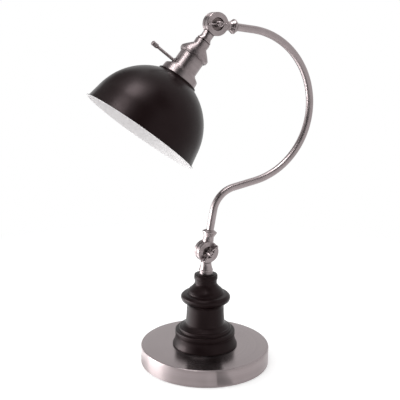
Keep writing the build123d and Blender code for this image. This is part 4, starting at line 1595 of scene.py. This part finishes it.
CARDS = (
    Card("front_flag", (-1.30, -1.40, 1.05), (0.0, 0.0, 0.4), 1.75, 2.1, 0.02),
    Card("narrow_flag", (-0.16, -1.35, 0.85), (0.0, 0.0, 0.2), 0.26, 1.7, 0.03),
    Card("upper_flag", (-0.40, -1.25, 1.90), (0.0, 0.0, 0.4), 1.5, 1.1, 0.02),
    Card("back_flag", (0.0, 1.15, 0.003), (0.0, 1.15, 1.0), 0.80, 1.30, 0.20),
    Card("high_back_flag", (-0.29, 1.37, 1.48), (0.0, 0.0, 0.4), 0.90, 1.24, 0.20),
    Card("crown_flag", (0.46, -0.92, 1.68), (0.0, 0.0, 0.45), 0.70, 1.10, 0.03),
    Card("side_flag", (-1.16, 0.42, 1.22), (-0.06, 0.0, 0.4), 1.50, 0.72, 0.15),
    Card("floor_flag", (-0.50, -0.54, 0.003), (-0.50, -0.54, 1.0), 0.66, 0.80, 0.03),
    Card("strip_flag", (-0.014, -0.165, 0.002), (-0.014, -0.165, 1.0), 0.024, 0.15, 0.35),
    Card("left_reflector", (-0.52, 0.22, 0.17), (0.0, 0.0, 0.17), 0.70, 0.34, 3.6),
    Card("foot_reflector", (-0.45, 0.17, 0.13), (0.0, 0.0, 0.03), 0.28, 0.20, 17.0),
    Card("low_reflector", (-0.30, 0.12, 0.003), (-0.30, 0.12, 1.0), 0.42, 0.32, 4.8),
    Card("rim_reflector", (-0.10, 0.085, 0.004), (-0.10, 0.085, 1.0), 0.16, 0.07, 2.6),
    Card("high_reflector", (-0.50, -0.12, 1.75), (-0.05, 0.0, 0.4), 0.62, 0.60, 16.0),
)


@dataclass(frozen=True)
class SoftLight:
    """A square soft light, which glossy surfaces show or don't."""

    name: str
    spot: Place
    aim: Place
    side: float
    watts: float
    mirrored: bool


LIGHTS = (
    SoftLight("key_light", (-1.31, 0.73, 0.85), (0.0, 0.0, 0.3), 1.3, 9.0, False),
    SoftLight("top_light", (-0.35, -0.20, 1.95), (0.0, 0.0, 0.2), 1.0, 8.0, True),
)


@dataclass
class Studio:
    """Floor, soft lights and the camera at the photograph's place."""

    camera_at: Place = (-406.7, -913.5, 461.0)
    azimuth: float = -24.0
    pitch: float = 13.009
    yaw: float = -0.551
    roll: float = 0.831
    lens: float = 68.84
    sensor: float = 36.0
    sight: float = 50.0
    fill: float = 0.85
    floor_size: float = 6.0
    floor_colour: Colour = (0.8, 0.8, 0.8)
    floor_glow: float = 0.33
    shadow_reach: tuple[float, float] = (0.32, 0.75)
    stage_pieces: list[Object] = field(default_factory=list)

    def build(self) -> None:
        """Sets up the world, floor, lights, cards and camera."""
        scene = bpy.context.scene
        scene.view_settings.view_transform = "Standard"
        self._world(scene)
        self._floor()
        for light in LIGHTS:
            self._light(scene, light)
        for card in CARDS:
            self._card(card)
        self._camera(scene)

    @staticmethod
    def _seen(sheet: NodeSheet) -> Socket:
        """One where a ray comes from the camera, a glossy bounce or through glass.

        Args:
            sheet: The sheet it is placed on.

        Returns:
            Its socket.
        """
        path = sheet.add("ShaderNodeLightPath")
        glossy = sheet.math("MAXIMUM", path.outputs["Is Glossy Ray"], path.outputs["Is Transmission Ray"])
        return sheet.math("MAXIMUM", path.outputs["Is Camera Ray"], glossy)

    def _world(self, scene: bpy.types.Scene) -> None:
        """A white background over a plain, softer fill.

        Args:
            scene: The scene that gets the world.
        """
        world = bpy.data.worlds.new("studio")
        scene.world = world
        world.use_nodes = True
        world.node_tree.nodes.clear()
        sheet = NodeSheet(world.node_tree)
        out = sheet.add("ShaderNodeOutputWorld")
        back = sheet.add("ShaderNodeBackground", Color=WHITE)
        sheet.join(sheet.ramp(self._seen(sheet), 0.0, 1.0, self.fill, 1.0), back.inputs["Strength"])
        sheet.join(back.outputs[0], out.inputs["Surface"])

    def _stage_piece(self, name: str, mesh: Mesh) -> tuple[Object, NodeSheet, Socket]:
        """Turns a mesh into a piece of the studio with an empty material.

        Args:
            name: The piece's name.
            mesh: Its mesh, already in place.

        Returns:
            The piece, the sheet of its material's nodes, and the material's surface socket.
        """
        made = as_object(name, mesh)
        material = bpy.data.materials.new(name)
        material.use_nodes = True
        material.node_tree.nodes.clear()
        made.data.materials.append(material)
        self.stage_pieces.append(made)
        sheet = NodeSheet(material.node_tree)
        return made, sheet, sheet.add("ShaderNodeOutputMaterial").inputs["Surface"]

    def _floor(self) -> None:
        """A pale floor that keeps the lamp's soft shadow and reads white away from it."""
        mesh = bmesh.new()
        bmesh.ops.create_grid(mesh, x_segments=2, y_segments=2, size=self.floor_size)
        _, sheet, surface = self._stage_piece("floor", mesh)
        matt = sheet.add("ShaderNodeBsdfDiffuse", Color=(*self.floor_colour, 1.0))
        glow = sheet.add("ShaderNodeEmission", Color=WHITE)
        white = sheet.add("ShaderNodeEmission", Color=WHITE, Strength=1.0)
        both = sheet.add("ShaderNodeAddShader")
        blend = sheet.add("ShaderNodeMixShader")
        length = sheet.add("ShaderNodeVectorMath", operation="LENGTH")
        sheet.join(sheet.add("ShaderNodeTexCoord").outputs["Object"], length.inputs[0])
        seen = self._seen(sheet)
        away = sheet.ramp(length.outputs["Value"], *self.shadow_reach)
        sheet.join(sheet.times(seen, self.floor_glow), glow.inputs["Strength"])
        sheet.feed(both.inputs[:], (matt.outputs[0], glow.outputs[0]))
        sheet.feed(blend.inputs[:], (sheet.times(seen, away), both.outputs[0], white.outputs[0]))
        sheet.join(blend.outputs[0], surface)

    @staticmethod
    def _light(scene: bpy.types.Scene, light: SoftLight) -> None:
        """Hangs a soft light.

        Args:
            scene: The scene it lights.
            light: The light's place, size and power.
        """
        data = bpy.data.lights.new(light.name, "AREA")
        data.shape = "SQUARE"
        data.size = light.side
        data.energy = light.watts
        lamp = bpy.data.objects.new(light.name, data)
        scene.collection.objects.link(lamp)
        lamp.location = light.spot
        lamp.visible_glossy = light.mirrored
        way = Vector(light.aim) - Vector(light.spot)
        lamp.rotation_euler = way.to_track_quat("-Z", "Y").to_euler()

    def _card(self, card: Card) -> None:
        """Stands or lays one card, which no camera, shadow or soft light sees.

        Args:
            card: The card's place, size and brightness.
        """
        mesh = bmesh.new()
        bmesh.ops.create_grid(mesh, x_segments=1, y_segments=1, size=0.5)
        bmesh.ops.scale(mesh, vec=(card.width, card.height, 1.0), verts=mesh.verts)
        facing = Vector(card.aim) - Vector(card.spot)
        if facing.x == 0.0 and facing.y == 0.0:
            outwards = math.atan2(card.spot[1], card.spot[0])
            turn = Matrix.Rotation(outwards - QUARTER_TURN, 4, "Z")
        else:
            turn = facing.to_track_quat("Z", "Y").to_matrix().to_4x4()
        moved(mesh, Matrix.Translation(card.spot) @ turn)
        made, sheet, surface = self._stage_piece(card.name, mesh)
        light = sheet.add("ShaderNodeEmission", Color=WHITE, Strength=card.brightness)
        sheet.join(light.outputs[0], surface)
        made.visible_camera = False
        made.visible_diffuse = False
        made.visible_shadow = False

    def _camera(self, scene: bpy.types.Scene) -> None:
        """The camera, turned as the photograph was taken.

        Args:
            scene: The scene that gets the camera.
        """
        azimuth, pitch = math.radians(self.azimuth), math.radians(self.pitch)
        yaw, roll = math.radians(self.yaw), math.radians(self.roll)
        ahead = Vector((-math.sin(azimuth), math.cos(azimuth), 0.0))
        aside = Vector((math.cos(azimuth), math.sin(azimuth), 0.0))
        forward = math.cos(pitch) * (math.cos(yaw) * ahead + math.sin(yaw) * aside)
        forward -= Vector((0.0, 0.0, math.sin(pitch)))
        level = math.cos(yaw) * aside - math.sin(yaw) * ahead
        above = level.cross(forward)
        right = math.cos(roll) * level + math.sin(roll) * above
        up = math.cos(roll) * above - math.sin(roll) * level
        data = bpy.data.cameras.new("camera")
        data.lens = self.lens
        data.sensor_width = self.sensor
        data.clip_end = self.sight
        camera = bpy.data.objects.new("camera", data)
        scene.collection.objects.link(camera)
        turned = Matrix((right, up, -forward)).transposed().to_4x4()
        camera.matrix_world = Matrix.Translation(Vector(self.camera_at) * MM) @ turned
        scene.camera = camera


def main() -> None:
    """Builds the lamp's pieces in order."""
    logging.basicConfig(level=logging.INFO, format="%(name)s: %(message)s")
    finishes = Finishes()
    for assembly in (Base, Pedestal, Arm, Knuckles, SocketGroup, Shade):
        assembly(finishes).build()
    Studio().build()


if __name__ == "__main__":
    main()
